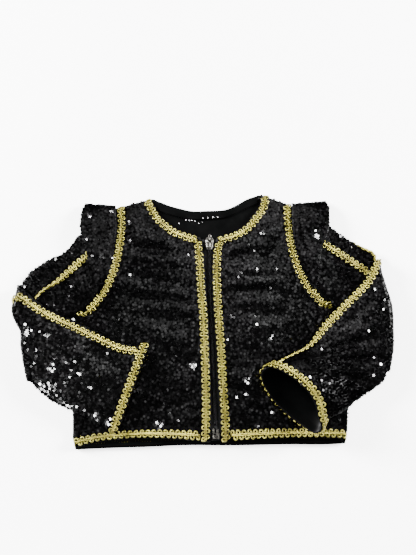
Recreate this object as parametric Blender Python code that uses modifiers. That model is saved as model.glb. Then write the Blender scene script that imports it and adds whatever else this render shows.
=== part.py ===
"""Child's matador jacket, laid flat face up with both sleeves folded in at the elbow.

The jacket lies on its back: +X is to the right of the picture, +Y runs from the hem to the
neck and +Z is up. The origin is on the surface it lies on, under the middle of its box.
The tables below are in millimetres and the objects in metres.
"""

import math
from collections import namedtuple

import bmesh
import bpy
from mathutils import Vector

MM = 0.001
SHARP_ANGLE = math.radians(50)
TABLE_CENTRE = (-0.53, -0.67)  # the middle of the jacket's box in the tables, which goes to the origin

# Cloth, trim and seams.
CLOTH = 1.8  # outer cloth with its sequins, and the lining
SLEEVE_WALL = 1.7
GAP = 0.3  # between pieces that touch
SEAM = 1.3  # between panels that meet edge to edge
BRAID_WIDTH = 10.5
BRAID_THICKNESS = 1.3
BRAID_LIFT = CLOTH / 2 + GAP + BRAID_THICKNESS / 2
HEM_STEP = BRAID_THICKNESS + GAP  # the back hem lies on its own braid

# Armholes, from the shoulder tip to the underarm, each bowed in towards the body.
LEFT_SHOULDER = Vector((-110.0, 139.5))
LEFT_UNDERARM = Vector((-155.5, 1.5))
RIGHT_SHOULDER = Vector((112.0, 142.5))
RIGHT_UNDERARM = Vector((163.0, 11.5))
ARMHOLE_BOW = 20.5

# Rows of a front, from the shoulder down to the hem. The first two columns are the outer
# edge (a share of the armhole, or a point of the side seam), the next two the inner edge
# (the neck, then the centre front), then the height of the cloth's middle at both edges
# and how far the row bows towards the neck.
FrontRow = namedtuple("FrontRow", "outer inner outer_z inner_z bow")

LEFT_FRONT = (
    FrontRow(0.00, (-67, 151.5), 3.1, 3.1, 0),
    FrontRow(0.12, (-60, 137.5), 4.2, 3.8, 0),
    FrontRow(0.25, (-53, 126.5), 5.2, 4.3, 0),
    FrontRow(0.36, (-44, 118.5), 5.8, 4.6, 0),
    FrontRow(0.47, (-34, 110.5), 6.1, 4.8, 0),
    FrontRow(0.58, (-22, 105.5), 6.1, 4.9, 0),
    FrontRow(0.68, (-11, 101.5), 5.9, 5.0, 0),
    FrontRow(0.78, (-3, 97.5), 5.4, 5.0, 0),
    FrontRow(0.90, (0, 74), 4.4, 5.0, 0),
    FrontRow(0.96, (1, 60), 3.6, 5.0, 0),
    FrontRow(1.00, (2, 46), 3.2, 5.0, 0),
    FrontRow((-156.4, -8), (3, 30), 3.1, 5.0, 0),
    FrontRow((-157, -27), (5, 8), 3.1, 5.0, 0),
    FrontRow((-156, -57), (7, -38), 3.1, 5.0, 0),
    FrontRow((-155, -92), (8.5, -78), 3.1, 5.0, 0),
    FrontRow((-154, -127), (9, -115), 4.2, 5.4, 3),
    FrontRow((-149.5, -157), (8, -150.5), 5.2, 5.8, 8),
)

RIGHT_FRONT = (
    FrontRow(0.00, (74, 157.5), 3.1, 3.1, 0),
    FrontRow(0.12, (73.5, 147), 4.2, 3.8, 0),
    FrontRow(0.25, (70, 138.5), 5.2, 4.3, 0),
    FrontRow(0.36, (63.5, 129.5), 5.8, 4.6, 0),
    FrontRow(0.47, (56, 119.5), 6.1, 4.8, 0),
    FrontRow(0.58, (45, 110), 6.1, 4.9, 0),
    FrontRow(0.68, (31, 103), 5.9, 5.0, 0),
    FrontRow(0.78, (16.5, 98), 5.4, 5.0, 0),
    FrontRow(0.90, (12.5, 74), 4.4, 5.0, 0),
    FrontRow(0.96, (12, 60), 3.6, 5.0, 0),
    FrontRow(1.00, (12, 46), 3.2, 5.0, 0),
    FrontRow((163.4, 1), (12.5, 30), 3.1, 5.0, 0),
    FrontRow((168, -17), (13.5, 8), 3.1, 5.0, 0),
    FrontRow((171.5, -47), (16.5, -38), 3.1, 5.0, 0),
    FrontRow((173, -84), (18.5, -78), 3.1, 5.0, 0),
    FrontRow((172.5, -119), (21, -115), 4.2, 5.4, 1),
    FrontRow((169, -147), (22, -150.5), 5.2, 5.8, 3),
)

FRONT_PUFF = 1.0  # how far the middle of a front stands over its edges
ARMHOLE_END = 16  # the row where the armhole's braid ends, above the underarm
NARROW_EDGE = 3.0  # the outer column of a front below that row

# Creases of the fronts, each a soft trough or ridge between two points.
Crease = namedtuple("Crease", "start end width depth")

FRONT_CREASES = (
    Crease((-100, 86), (-20, 92), 9, -0.7),
    Crease((-98, 50), (-12, 44), 10, -0.6),
    Crease((-96, 24), (-14, 14), 9, -0.7),
    Crease((30, 82), (104, 74), 9, -0.7),
    Crease((28, 34), (112, 24), 10, -0.6),
    Crease((34, 16), (100, 2), 9, -0.6),
    Crease((-60, 70), (-30, -10), 14, 0.5),
    Crease((60, 60), (48, -30), 14, 0.5),
)

# Rows of the back, down its left and right edges, with the height of the cloth's underside.
BackRow = namedtuple("BackRow", "left right lift")

BACK = (
    BackRow(0.00, 0.00, 0.0),
    BackRow(0.15, 0.15, 0.0),
    BackRow(0.32, 0.32, 0.0),
    BackRow(0.48, 0.48, 0.0),
    BackRow(0.64, 0.64, 0.0),
    BackRow(0.78, 0.78, 0.0),
    BackRow(0.90, 0.90, 0.0),
    BackRow(0.96, 0.96, 0.0),
    BackRow(1.00, 1.00, 0.0),
    BackRow((-156.4, -8), (163.4, 1), 0.0),
    BackRow((-157, -50), (171.5, -40), 0.0),
    BackRow((-156, -100), (173, -90), 0.0),
    BackRow((-154.5, -138), (172, -128), 0.0),
    BackRow((-154, -146), (171, -136), HEM_STEP),
    BackRow((-150.5, -159), (168, -151), HEM_STEP),
)

# The back neck, from one neck point to the other.
BACK_NECK = ((-67, 151.5), (-46, 142), (-21, 135.5), (2, 134.5), (29, 138.5), (52, 149), (74, 157.5))
NECK_FADE_ROW = 7  # the row of the back where the neck's curve has faded out
NECK_FADE = 1.5  # how quickly it fades
FACING_WIDTH = 11.0
FACING_THICKNESS = 1.0
FACING_INSET = 0.4
FACING_TAPER = 0.98

# Rings of a sleeve, each flattened: its top fold edge and its underarm edge in plan, the
# height of its middle, its half thickness, how far its short side is turned over and how
# far it bows. The turn is 0 where the front face looks up and 180 on the folded forearm.
Ring = namedtuple("Ring", "top under height half turn bow")

LEFT_UPPER_ARM = (
    Ring((-111.5, 140.0), (-157.1, 2.5), 3.6, 3.6, 0, 20.2),
    Ring((-129, 124), (-174, -11), 4.4, 4.4, 0, 11),
    Ring((-151, 106), (-182, -26), 4.6, 4.6, 0, 6),
    Ring((-173, 87), (-188, -42), 4.2, 4.2, 0, 2),
    Ring((-196, 69), (-199, -59), 3.9, 3.9, 0, -2),
)
LEFT_ELBOW = Ring((-223.5, 36), (-204, -77), 8.1, 3.9, 0, -3)
LEFT_FOREARM = (
    Ring((-196, 13), (-188, -94), 13.0, 4.3, 180, -1),
    Ring((-160, -5), (-160, -111), 14.2, 4.6, 180, 0),
    Ring((-125, -21), (-131, -126), 14.6, 4.4, 180, 0),
    Ring((-95, -34), (-113, -135), 14.4, 4.0, 180, 0),
    Ring((-65, -36.5), (-101, -141), 14.2, 3.6, 180, 0),
)

RIGHT_UPPER_ARM = (
    Ring((113.5, 143.0), (165.0, 12.9), 3.6, 3.6, 0, 20.2),
    Ring((136, 129), (186, -5), 4.4, 4.4, 0, 10),
    Ring((160, 115), (190, -20), 4.6, 4.6, 0, 6),
    Ring((183, 99), (199, -36), 4.2, 4.2, 0, 2),
    Ring((204, 84), (206, -50), 3.9, 3.9, 0, -2),
)
RIGHT_ELBOW = Ring((213, 66), (217, -66), 8.1, 3.9, 0, -6)
RIGHT_FOREARM = (
    Ring((198, 43), (213, -78), 13.0, 4.3, 180, -2),
    Ring((172, 17), (197, -93), 14.0, 4.9, 180, 0),
    Ring((147, -9), (181, -103), 15.4, 6.0, 178, 0),
    Ring((126, -34), (167, -115), 18.6, 9.2, 170, 0),
    Ring((99, -50), (154, -125), 22.4, 14.5, 146, 0),
    Ring((71.5, -66.5), (141, -135), 24.6, 20.5, 119, 0),
)

TURN_RADIUS = 4.2  # of the sleeve's middle round the fold at the elbow
TURN_STEPS = 6
RING_POINTS = 32
FRONT_BRAID_ANGLES = {
    "left": [math.radians(angle) for angle in (119, 108)],
    "right": [math.radians(angle) for angle in (129, 117)],
}
BACK_BRAID_ANGLES = [math.radians(angle) for angle in (187, 191.25, 202.5, 213.75)]
SLEEVE_BRAID_GAP = 0.4
FRONT_BRAID_RINGS = {"left": slice(3, 10), "right": slice(2, 10)}  # from the wing to the elbow
BACK_BRAID_RINGS = slice(5, -2)  # from above the elbow to the cuff
CUFF_CLEARANCE = 0.08  # share of a ring's step that the braid stops short of the cuff's

# Leaf-shaped wings over the shoulders. A row has the share of the armhole it starts at, its
# free edge and the height there. The last rows turn under along the fold at the top.
WingRow = namedtuple("WingRow", "share free free_z")

LEFT_WING = (
    WingRow(0.00, (-149, 141.5), 5.6),
    WingRow(0.07, (-152.5, 130.5), 8.6),
    WingRow(0.18, (-153, 114.5), 10.8),
    WingRow(0.30, (-151.5, 102), 11.4),
    WingRow(0.42, (-147, 88), 11.4),
    WingRow(0.54, (-143, 73), 11.0),
    WingRow(0.64, (-139.5, 55), 10.4),
    WingRow(0.72, (-138, 38), 9.8),
    WingRow(0.76, (-136, 30), 9.4),
)
RIGHT_WING = (
    WingRow(0.00, (155, 144.5), 5.6),
    WingRow(0.07, (158.5, 133.5), 8.6),
    WingRow(0.18, (157.5, 115), 10.8),
    WingRow(0.30, (154, 101), 11.4),
    WingRow(0.42, (149, 90), 11.4),
    WingRow(0.54, (146, 76), 11.0),
    WingRow(0.64, (143, 58), 10.4),
    WingRow(0.72, (140.5, 42), 9.8),
    WingRow(0.76, (139, 35), 9.4),
)
WING = 1.8
WING_ROOT_Z = 9.2
WING_COLUMNS = 6
WING_TOP_DROP = 2.2  # how far its root comes down at the shoulder
WING_BOW = 0.8
WING_DROP_SHARE = 0.12  # of the armhole, over which it rises again
WING_FOLD = 2.4  # how far the fold at the top stands out
WING_UNDER = (0.3, 14.0)  # how far the leaf under the fold comes down, at its root and free edge

# Centre-front zip, closed. Points are on the middle of its teeth.
ZIP_TOP = (8.0, 98.0)
ZIP_MIDDLE = (9.0, 20.0)
ZIP_BOTTOM = (15.8, -149.0)
ZIP_STEPS = 16
HEM_RISE_START = -118.0  # below this the zip climbs onto the back's hem
HEM_RISE_END = -138.0
HEM_RISE = 1.4
TAPE_WIDTH = 11.0
TAPE_THICKNESS = 0.9
TAPE_Z = 2.7
CHAIN_WIDTH = 4.6
CHAIN_THICKNESS = 2.0
CHAIN_TOP = TAPE_Z + TAPE_THICKNESS / 2 + GAP + CHAIN_THICKNESS
TEETH_END = -134.6
STOP_SIZE = (8.4, 12.0, 2.4)
STOP_CENTRE = (15.6, -141.2)

# Slider over the top of the teeth, its bridge, and the pull that turns in the bridge.
SLIDER = (8.0, 94.0)
SLIDER_SHOULDER = 4.9  # half width where the tapes part
SLIDER_FOOT = 3.9
SLIDER_FROM, SLIDER_TO = -7.0, 6.4  # along the zip, from its middle
SHOULDER_DROP = 4.0  # its shoulders lie this far below its top end
SHOULDER_CUT = 1.0
NOSE_WIDTH = 4.2
NOSE_TO = 11.2
NOSE_NECK = 0.7  # how far the nose narrows where it leaves the plate
NOSE_POINT = 1.8
SLIDER_PLATE = 1.4
SLIDER_BOTTOM = CHAIN_TOP + GAP
FLANGE_WIDTH = 1.2
FLANGE_INSET = 0.05
FLANGE_SHORT = 2.0  # how much shorter it is than the plate
FLANGE_SHIFT = 0.4
FLANGE_BOTTOM = TAPE_Z + TAPE_THICKNESS / 2 + GAP
BRIDGE_WIDTH = 2.2
BRIDGE_WALL = 1.2
BRIDGE_HALF_LENGTH = 2.8
BRIDGE_ROOM = 2.4  # clear height under the bridge
BRIDGE_SINK = 0.55  # how far its posts go down into the plate
BRIDGE_BAR_INSET = 0.05
PIVOT_HEIGHT = 1.3  # of the pull's axis over the plate
PULL_PIVOT = (8.0, 98.2, SLIDER_BOTTOM + SLIDER_PLATE + PIVOT_HEIGHT)
PULL_THICKNESS = 1.2
PULL_BAR = 0.8  # half width of the bar that turns in the bridge
PULL_HOLE_HALF = 1.8
PULL_HOLE_END = -4.4
PULL_SHOULDER = 4.6
PULL_SHOULDER_Y = -5.9
PULL_NECK = 4.1
PULL_NECK_Y = -1.8
PULL_TOP = 2.6
PULL_TIP = 3.4
PULL_CORNER = 1.0
PULL_END = -13.8


def material(name, colour, roughness, metallic=0.0):
    """A Principled material."""
    made = bpy.data.materials.new(name)
    made.use_nodes = True
    shader = made.node_tree.nodes["Principled BSDF"]
    shader.inputs["Base Color"].default_value = (*colour, 1.0)
    shader.inputs["Roughness"].default_value = roughness
    shader.inputs["Metallic"].default_value = metallic
    return made


def smooth_between(rows, steps):
    """Numbers read from a smooth curve through the rows, with steps to each stretch."""
    found = []
    for i in range(len(rows) - 1):
        before = rows[max(i - 1, 0)]
        after = rows[min(i + 2, len(rows) - 1)]
        for k in range(steps):
            t = k / steps
            found.append(
                [
                    b + 0.5 * t * (c - a + t * (2 * a - 5 * b + 4 * c - d + t * (3 * b - a + d - 3 * c)))
                    for a, b, c, d in zip(before, rows[i], rows[i + 1], after)
                ]
            )
    found.append(list(rows[-1]))
    return found


def new_object(name, bm, look):
    """A smooth-shaded object from bm, in the jacket's collection."""
    bmesh.ops.recalc_face_normals(bm, faces=bm.faces)
    bmesh.ops.translate(bm, vec=(-TABLE_CENTRE[0], -TABLE_CENTRE[1], 0.0), verts=bm.verts)
    bmesh.ops.scale(bm, vec=(MM, MM, MM), verts=bm.verts)
    mesh = bpy.data.meshes.new(name)
    bm.to_mesh(mesh)
    bm.free()
    mesh.materials.append(look)
    mesh.shade_smooth()
    mesh.set_sharp_from_angle(angle=SHARP_ANGLE)
    made = bpy.data.objects.new(name, mesh)
    jacket.objects.link(made)
    return made


def loft(bm, rows, closed=False):
    """Faces between neighbouring rows of points. A closed row joins its last point to its first."""
    loops = [[bm.verts.new(point) for point in row] for row in rows]
    for one, other in zip(loops, loops[1:]):
        count = len(one)
        for i in range(count if closed else count - 1):
            k = (i + 1) % count
            bm.faces.new((one[i], one[k], other[k], other[i]))
    return loops


def cloth(name, rows, thickness, look, closed=False):
    """A sheet lofted through rows of points on its middle, with its thickness solidified."""
    bm = bmesh.new()
    loft(bm, rows, closed)
    made = new_object(name, bm, look)
    wall = made.modifiers.new("Thickness", "SOLIDIFY")
    wall.thickness = thickness * MM
    wall.offset = 0.0
    wall.use_even_offset = True
    return made


def between(name, outer, inner, look, closed=False):
    """A solid between two grids of points, joined round the edge."""
    bm = bmesh.new()
    outside = loft(bm, outer, closed)
    inside = loft(bm, inner, closed)
    rim = len(outer[0])
    for end in (0, -1):
        for i in range(rim if closed else rim - 1):
            k = (i + 1) % rim
            bm.faces.new((outside[end][i], outside[end][k], inside[end][k], inside[end][i]))
    if not closed:
        for side in (0, -1):
            for k in range(len(outer) - 1):
                a, b = outside[k][side], outside[k + 1][side]
                c, d = inside[k + 1][side], inside[k][side]
                bm.faces.new((a, b, c, d))
    return new_object(name, bm, look)


def normals_of(rows, closed=False):
    """The upward normal at each point of a grid, or the outward one of a closed grid."""
    found = []
    for v, row in enumerate(rows):
        line = []
        for u in range(len(row)):
            before, after = (u - 1, (u + 1) % len(row)) if closed else (max(u - 1, 0), min(u + 1, len(row) - 1))
            along = row[after] - row[before]
            across = rows[min(v + 1, len(rows) - 1)][u] - rows[max(v - 1, 0)][u]
            line.append(along.cross(across).normalized())
        found.append(line)
    flip = -1.0 if not closed and found[0][0].z < 0 else 1.0
    return [[n * flip for n in line] for line in found]


def moved_out(rows, distance, closed=False):
    """A grid moved along its own normals."""
    normals = normals_of(rows, closed)
    return [[p + n * distance for p, n in zip(row, line)] for row, line in zip(rows, normals)]


def armhole(shoulder, underarm, share):
    """The point of an armhole at a share of its way down, bowed in towards the body."""
    side = -1.0 if shoulder.x < 0 else 1.0
    chord = underarm - shoulder
    inward = Vector((chord.y, -chord.x)).normalized() * side
    return shoulder + chord * share + inward * ARMHOLE_BOW * bow_shape(share)


def bow_shape(share):
    """0 at both ends and 1 a little past the middle."""
    return share * (1.0 - share) ** 0.7 / 0.31 if 0.0 < share < 1.0 else 0.0


def edge_point(value, shoulder, underarm):
    """A table's outer edge: a share of the armhole, or a point as it is."""
    return armhole(shoulder, underarm, value) if isinstance(value, float) else Vector(value)


def crease_height(x, y):
    """What the creases add to the fronts' height at a point."""
    total = 0.0
    for crease in FRONT_CREASES:
        start, end = Vector(crease.start), Vector(crease.end)
        run = end - start
        share = (Vector((x, y)) - start).dot(run) / run.length_squared
        if 0.0 < share < 1.0:
            off = (Vector((x, y)) - start - run * share).length / crease.width
            total += crease.depth * math.exp(-off * off) * math.sin(math.pi * share)
    return total


def front_grid(table, shoulder, underarm):
    """The middle surface of a front. Its edge columns are a braid's width wide."""
    rows = []
    for row in table:
        outer = edge_point(row.outer, shoulder, underarm)
        rows.append((outer.x, outer.y, *row.inner, row.outer_z, row.inner_z, row.bow))
    last = rows[-1]
    above = rows[-2]
    share = BRAID_WIDTH / (Vector(last[:2]) - Vector(above[:2])).length
    dense = smooth_between(rows, 2)
    dense[-2] = [b + (a - b) * share for a, b in zip(above, last)]
    grid = []
    for index, (ox, oy, ix, iy, outer_z, inner_z, bow) in enumerate(dense):
        width = math.hypot(ix - ox, iy - oy)
        outer_edge = (BRAID_WIDTH if index <= ARMHOLE_END else NARROW_EDGE) / width
        inner_edge = 1.0 - BRAID_WIDTH / width
        between_edges = (outer_edge + (inner_edge - outer_edge) * k / 8 for k in range(1, 8))
        shares = [0.0, outer_edge, *between_edges, inner_edge, 1.0]
        line = []
        for t in shares:
            x = ox + (ix - ox) * t
            y = oy + (iy - oy) * t + bow * bow_shape(1.0 - t)
            z = outer_z + (inner_z - outer_z) * t + FRONT_PUFF * math.sin(math.pi * t)
            line.append(Vector((x, y, z + crease_height(x, y))))
        grid.append(line)
    return grid


def back_grid():
    """The middle surface of the back, with the neck's curve fading down its rows."""
    rows = []
    for row in BACK:
        left = edge_point(row.left, LEFT_SHOULDER, LEFT_UNDERARM)
        right = edge_point(row.right, RIGHT_SHOULDER, RIGHT_UNDERARM)
        rows.append((left.x, left.y, right.x, right.y, row.lift))
    neck = smooth_between(BACK_NECK, 2)
    first = rows[0]
    left_tip, right_tip = Vector(first[:2]), Vector(first[2:4])
    left_middle = left_tip.lerp(Vector(BACK_NECK[0]), 0.5)
    right_middle = right_tip.lerp(Vector(BACK_NECK[-1]), 0.5)
    top = [left_tip, left_middle, *neck, right_middle, right_tip]
    faded_y = rows[NECK_FADE_ROW][1]
    grid = []
    for left_x, left_y, right_x, right_y, lift in rows:
        fade = max(0.0, (left_y - faded_y) / (first[1] - faded_y)) ** NECK_FADE
        line = []
        for x, y in top:
            t = (x - first[0]) / (first[2] - first[0])
            straight = first[1] + (first[3] - first[1]) * t
            px = left_x + (right_x - left_x) * t
            py = left_y + (right_y - left_y) * t + (y - straight) * fade
            line.append(Vector((px, py, lift + CLOTH / 2)))
        grid.append(line)
    return grid


def sleeve_rings(upper_arm, elbow, forearm):
    """Every ring of a folded sleeve, as numbers: the columns of Ring and the radius of the turn.

    The last ring but one is where the cuff's braid starts.
    """
    def numbers(ring, radius=0.0):
        return [*ring.top, *ring.under, ring.height, ring.half, ring.turn, ring.bow, radius]

    low = elbow._replace(height=elbow.height - TURN_RADIUS)
    high = elbow._replace(height=elbow.height + TURN_RADIUS, turn=180)
    rings = smooth_between([numbers(ring) for ring in (*upper_arm, low)], 2)
    for k in range(1, TURN_STEPS):
        rings.append(numbers(elbow._replace(turn=180.0 * k / TURN_STEPS), TURN_RADIUS))
    rings += smooth_between([numbers(ring) for ring in (high, *forearm)], 2)
    cuff, before = rings[-1], rings[-2]
    rings.insert(-1, ring_between(cuff, before, BRAID_WIDTH / (Vector(cuff[:2]) - Vector(before[:2])).length))
    return rings


def ring_between(one, other, share):
    return [a + (b - a) * share for a, b in zip(one, other)]


def ring_point(ring, angle, grow):
    """The point of a sleeve's ring at an angle, moved out by grow, or in where it is below 0.

    The angle is 0 at the underarm edge and 180 at the top fold edge, and below 180 on the
    front face. A ring of the turn lies out from the fold by the turn's radius.
    """
    top_x, top_y, under_x, under_y, height, half, turn, bow, radius = ring
    top = Vector((top_x, top_y, 0.0))
    under = Vector((under_x, under_y, 0.0))
    long_side = (under - top) / 2
    to_body = Vector((-long_side.y, long_side.x, 0.0)).normalized()
    if top_x > 0:
        to_body = -to_body
    turned = math.radians(turn)
    short = Vector((0.0, 0.0, math.cos(turned))) + to_body * math.sin(turned)
    centre = (top + under) / 2 + Vector((0.0, 0.0, height)) - short * radius
    reach = long_side.length
    out_of = long_side.normalized() * half * math.cos(angle) + short * reach * math.sin(angle)
    inset = min(grow, 0.0)
    point = centre + long_side * (1.0 + inset / reach) * math.cos(angle)
    point += short * (half + inset) * math.sin(angle) + out_of.normalized() * max(grow, 0.0)
    return point + to_body * bow * bow_shape((1.0 + math.cos(angle)) / 2)


def sleeve_grid(rings, angles, grow):
    """Rows of points on the sleeve, a row for each ring."""
    return [[ring_point(ring, angle, grow) for angle in angles] for ring in rings]


ROUND = [2.0 * math.pi * k / RING_POINTS for k in range(RING_POINTS)]


def sleeve(name, rings, look):
    """A tube of cloth, open at both ends."""
    return between(name, sleeve_grid(rings, ROUND, 0.0), sleeve_grid(rings, ROUND, -SLEEVE_WALL), look, True)


def sleeve_braid(name, rings, angles, closed=False):
    """Braid on a sleeve: a strip across these angles, or a closed band."""
    inner = sleeve_grid(rings, angles, SLEEVE_BRAID_GAP)
    outer = sleeve_grid(rings, angles, SLEEVE_BRAID_GAP + BRAID_THICKNESS)
    return between(name, outer, inner, gold_braid, closed)


def wing(name, table, shoulder, underarm):
    """A leaf of cloth from the armhole to its free edge, turned under along the top."""
    side = -1.0 if shoulder.x < 0 else 1.0
    rows = []
    for row in table:
        root = armhole(shoulder, underarm, row.share) + Vector((side * SEAM, 0.0))
        free = Vector(row.free)
        line = []
        for k in range(WING_COLUMNS + 1):
            t = k / WING_COLUMNS
            flat = root.lerp(free, t)
            rise = math.sin(math.pi * t) * WING_BOW
            root_z = WING_ROOT_Z - WING_TOP_DROP * max(0.0, 1.0 - row.share / WING_DROP_SHARE)
            line.append(Vector((flat.x, flat.y, root_z + (row.free_z - root_z) * t + rise)))
        rows.append(line)
    top = rows[0]
    fold = [Vector((p.x, p.y + WING_FOLD, (p.z + WING / 2) / 2)) for p in top]
    under = []
    for k, p in enumerate(top):
        reach = WING_UNDER[0] + (WING_UNDER[1] - WING_UNDER[0]) * k / WING_COLUMNS
        under.append(Vector((p.x, p.y - reach, WING / 2)))
    return cloth(name, [under, fold, *rows], WING, sequin_cloth)


def sub_grid(grid, columns, rows):
    """The part of a grid between two columns and two rows, which may be fractions."""
    def at(row, column):
        v0, u0 = min(int(row), len(grid) - 2), min(int(column), len(grid[0]) - 2)
        a = grid[v0][u0].lerp(grid[v0][u0 + 1], column - u0)
        b = grid[v0 + 1][u0].lerp(grid[v0 + 1][u0 + 1], column - u0)
        return a.lerp(b, row - v0)

    first, last = rows
    stops = [first, *(k for k in range(math.ceil(first + 0.01), math.ceil(last - 0.01))), last]
    start, end = columns
    across = [start, *(k for k in range(math.ceil(start + 0.01), math.ceil(end - 0.01))), end]
    return [[at(row, column) for column in across] for row in stops]


def zip_point(y):
    """The middle of the zip's tapes at a distance from the tables' origin along Y."""
    a, b = (ZIP_TOP, ZIP_MIDDLE) if y > ZIP_MIDDLE[1] else (ZIP_MIDDLE, ZIP_BOTTOM)
    x = a[0] + (b[0] - a[0]) * (a[1] - y) / (a[1] - b[1])
    share = min(1.0, max(0.0, (HEM_RISE_START - y) / (HEM_RISE_START - HEM_RISE_END)))
    return Vector((x, y, TAPE_Z + HEM_RISE * share * share * (3.0 - 2.0 * share)))


def zip_strip(name, left, right, y_range, lift, thickness, look):
    """A strip along the zip, between two distances from its middle line."""
    first, last = y_range
    rows = []
    for k in range(ZIP_STEPS + 1):
        middle = zip_point(first + (last - first) * k / ZIP_STEPS)
        rows.append([middle + Vector((left, 0.0, lift)), middle + Vector((right, 0.0, lift))])
    return cloth(name, rows, thickness, look)


def box(name, centre, size, look, bevel=0.0):
    """A block, its edges rounded where bevel is given."""
    bm = bmesh.new()
    bmesh.ops.create_cube(bm, size=1.0)
    bmesh.ops.scale(bm, vec=size, verts=bm.verts)
    bmesh.ops.translate(bm, vec=centre, verts=bm.verts)
    made = new_object(name, bm, look)
    if bevel:
        round_edges = made.modifiers.new("Rounded", "BEVEL")
        round_edges.width = bevel * MM
        round_edges.segments = 2
    return made


def plate(name, outline, hole, thickness, centre, look):
    """A flat plate from an outline, with a hole through it where one is given."""
    curve = bpy.data.curves.new(name, "CURVE")
    curve.dimensions = "2D"
    curve.fill_mode = "BOTH"
    curve.extrude = thickness * MM / 2
    for points in (outline, hole) if hole else (outline,):
        spline = curve.splines.new("POLY")
        spline.points.add(len(points) - 1)
        for point, (x, y) in zip(spline.points, points):
            point.co = (x * MM, y * MM, 0.0, 1.0)
        spline.use_cyclic_u = True
    guide = bpy.data.objects.new(name + "_outline", curve)
    jacket.objects.link(guide)
    bpy.context.view_layer.update()
    graph = bpy.context.evaluated_depsgraph_get()
    mesh = bpy.data.meshes.new_from_object(guide.evaluated_get(graph))
    bpy.data.objects.remove(guide)
    bm = bmesh.new()
    bm.from_mesh(mesh)
    bmesh.ops.remove_doubles(bm, verts=bm.verts, dist=0.00001)
    bmesh.ops.recalc_face_normals(bm, faces=bm.faces)
    bm.to_mesh(mesh)
    bm.free()
    mesh.name = name
    mesh.materials.clear()
    mesh.materials.append(look)
    made = bpy.data.objects.new(name, mesh)
    x, y, z = centre
    made.location = ((x - TABLE_CENTRE[0]) * MM, (y - TABLE_CENTRE[1]) * MM, z * MM)
    jacket.objects.link(made)
    return made


def join(target, *others):
    """Joins helper solids to target with Boolean unions."""
    for other in others:
        jacket.objects.unlink(other)
        helpers.objects.link(other)
        other.hide_render = True
        other.display_type = "WIRE"
        union = target.modifiers.new(other.name, "BOOLEAN")
        union.operation = "UNION"
        union.object = other


for existing in list(bpy.data.objects):
    bpy.data.objects.remove(existing)

jacket = bpy.data.collections.new("matador_jacket")
bpy.context.scene.collection.children.link(jacket)
helpers = bpy.data.collections.new("helpers")
bpy.context.scene.collection.children.link(helpers)

sequin_cloth = material("sequin_cloth", (0.012, 0.012, 0.013), 0.32)
satin = material("black_satin", (0.01, 0.01, 0.011), 0.4)
gold_braid = material("gold_braid", (0.62, 0.48, 0.16), 0.36, 0.8)
zip_tape = material("zip_tape", (0.015, 0.015, 0.016), 0.8)
zip_teeth = material("zip_teeth", (0.02, 0.02, 0.022), 0.4)
steel = material("zip_metal", (0.55, 0.54, 0.5), 0.3, 1.0)

# The body: back, facing of the back neck and two fronts.
back = back_grid()
cloth("back", back, CLOTH, sequin_cloth)
neck_line = smooth_between(BACK_NECK, 3)[2:-2]
facing_z = CLOTH + GAP + FACING_THICKNESS / 2
facing = [
    [Vector((x, y - FACING_INSET, facing_z)) for x, y in neck_line],
    [Vector((x * FACING_TAPER, y - FACING_WIDTH, facing_z)) for x, y in neck_line],
]
cloth("back_neck_facing", facing, FACING_THICKNESS, satin)

left = front_grid(LEFT_FRONT, LEFT_SHOULDER, LEFT_UNDERARM)
right = front_grid(RIGHT_FRONT, RIGHT_SHOULDER, RIGHT_UNDERARM)
cloth("front_left", left, CLOTH, sequin_cloth)
cloth("front_right", right, CLOTH, sequin_cloth)

# Braid on the fronts: neck, front edge, armhole and hem. Each is made from the front's
# own points, moved out. The columns of a front run from its outer edge to its inner one.
CORNER_ROW = 14
LAST_ROW = len(left) - 1
LAST_COLUMN = len(left[0]) - 1
END = 0.12  # share of a row that a braid stops short of its neighbour
for side_name, grid in (("left", left), ("right", right)):
    skin = moved_out(grid, BRAID_LIFT)
    pieces = {
        "neck_braid": ((LAST_COLUMN - 1, LAST_COLUMN), (0, CORNER_ROW - END)),
        "front_edge_braid": ((LAST_COLUMN - 1, LAST_COLUMN), (CORNER_ROW + END, LAST_ROW)),
        "armhole_braid": ((END, 1), (0, ARMHOLE_END)),
        "hem_braid": ((0, LAST_COLUMN - 1 - END), (LAST_ROW - 1, LAST_ROW)),
    }
    for piece, (columns, rows) in pieces.items():
        cloth(f"{piece}_{side_name}", sub_grid(skin, columns, rows), BRAID_THICKNESS, gold_braid)

back_hem = [[Vector((p.x, p.y, BRAID_THICKNESS / 2)) for p in row] for row in back[-2:]]
cloth("hem_braid_back", back_hem, BRAID_THICKNESS, gold_braid)

# Sleeves, with two lines of braid each and a band at the cuff.
for side_name, parts in (
    ("left", (LEFT_UPPER_ARM, LEFT_ELBOW, LEFT_FOREARM)),
    ("right", (RIGHT_UPPER_ARM, RIGHT_ELBOW, RIGHT_FOREARM)),
):
    rings = sleeve_rings(*parts)
    sleeve(f"sleeve_{side_name}", rings, sequin_cloth)
    short_of_cuff = ring_between(rings[-2], rings[-3], CUFF_CLEARANCE)
    back_braid_rings = [*rings[BACK_BRAID_RINGS], short_of_cuff]
    sleeve_braid(f"sleeve_braid_front_{side_name}", rings[FRONT_BRAID_RINGS[side_name]], FRONT_BRAID_ANGLES[side_name])
    sleeve_braid(f"sleeve_braid_back_{side_name}", back_braid_rings, BACK_BRAID_ANGLES)
    sleeve_braid(f"cuff_braid_{side_name}", rings[-2:], ROUND, closed=True)

wing("wing_left", LEFT_WING, LEFT_SHOULDER, LEFT_UNDERARM)
wing("wing_right", RIGHT_WING, RIGHT_SHOULDER, RIGHT_UNDERARM)

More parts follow.
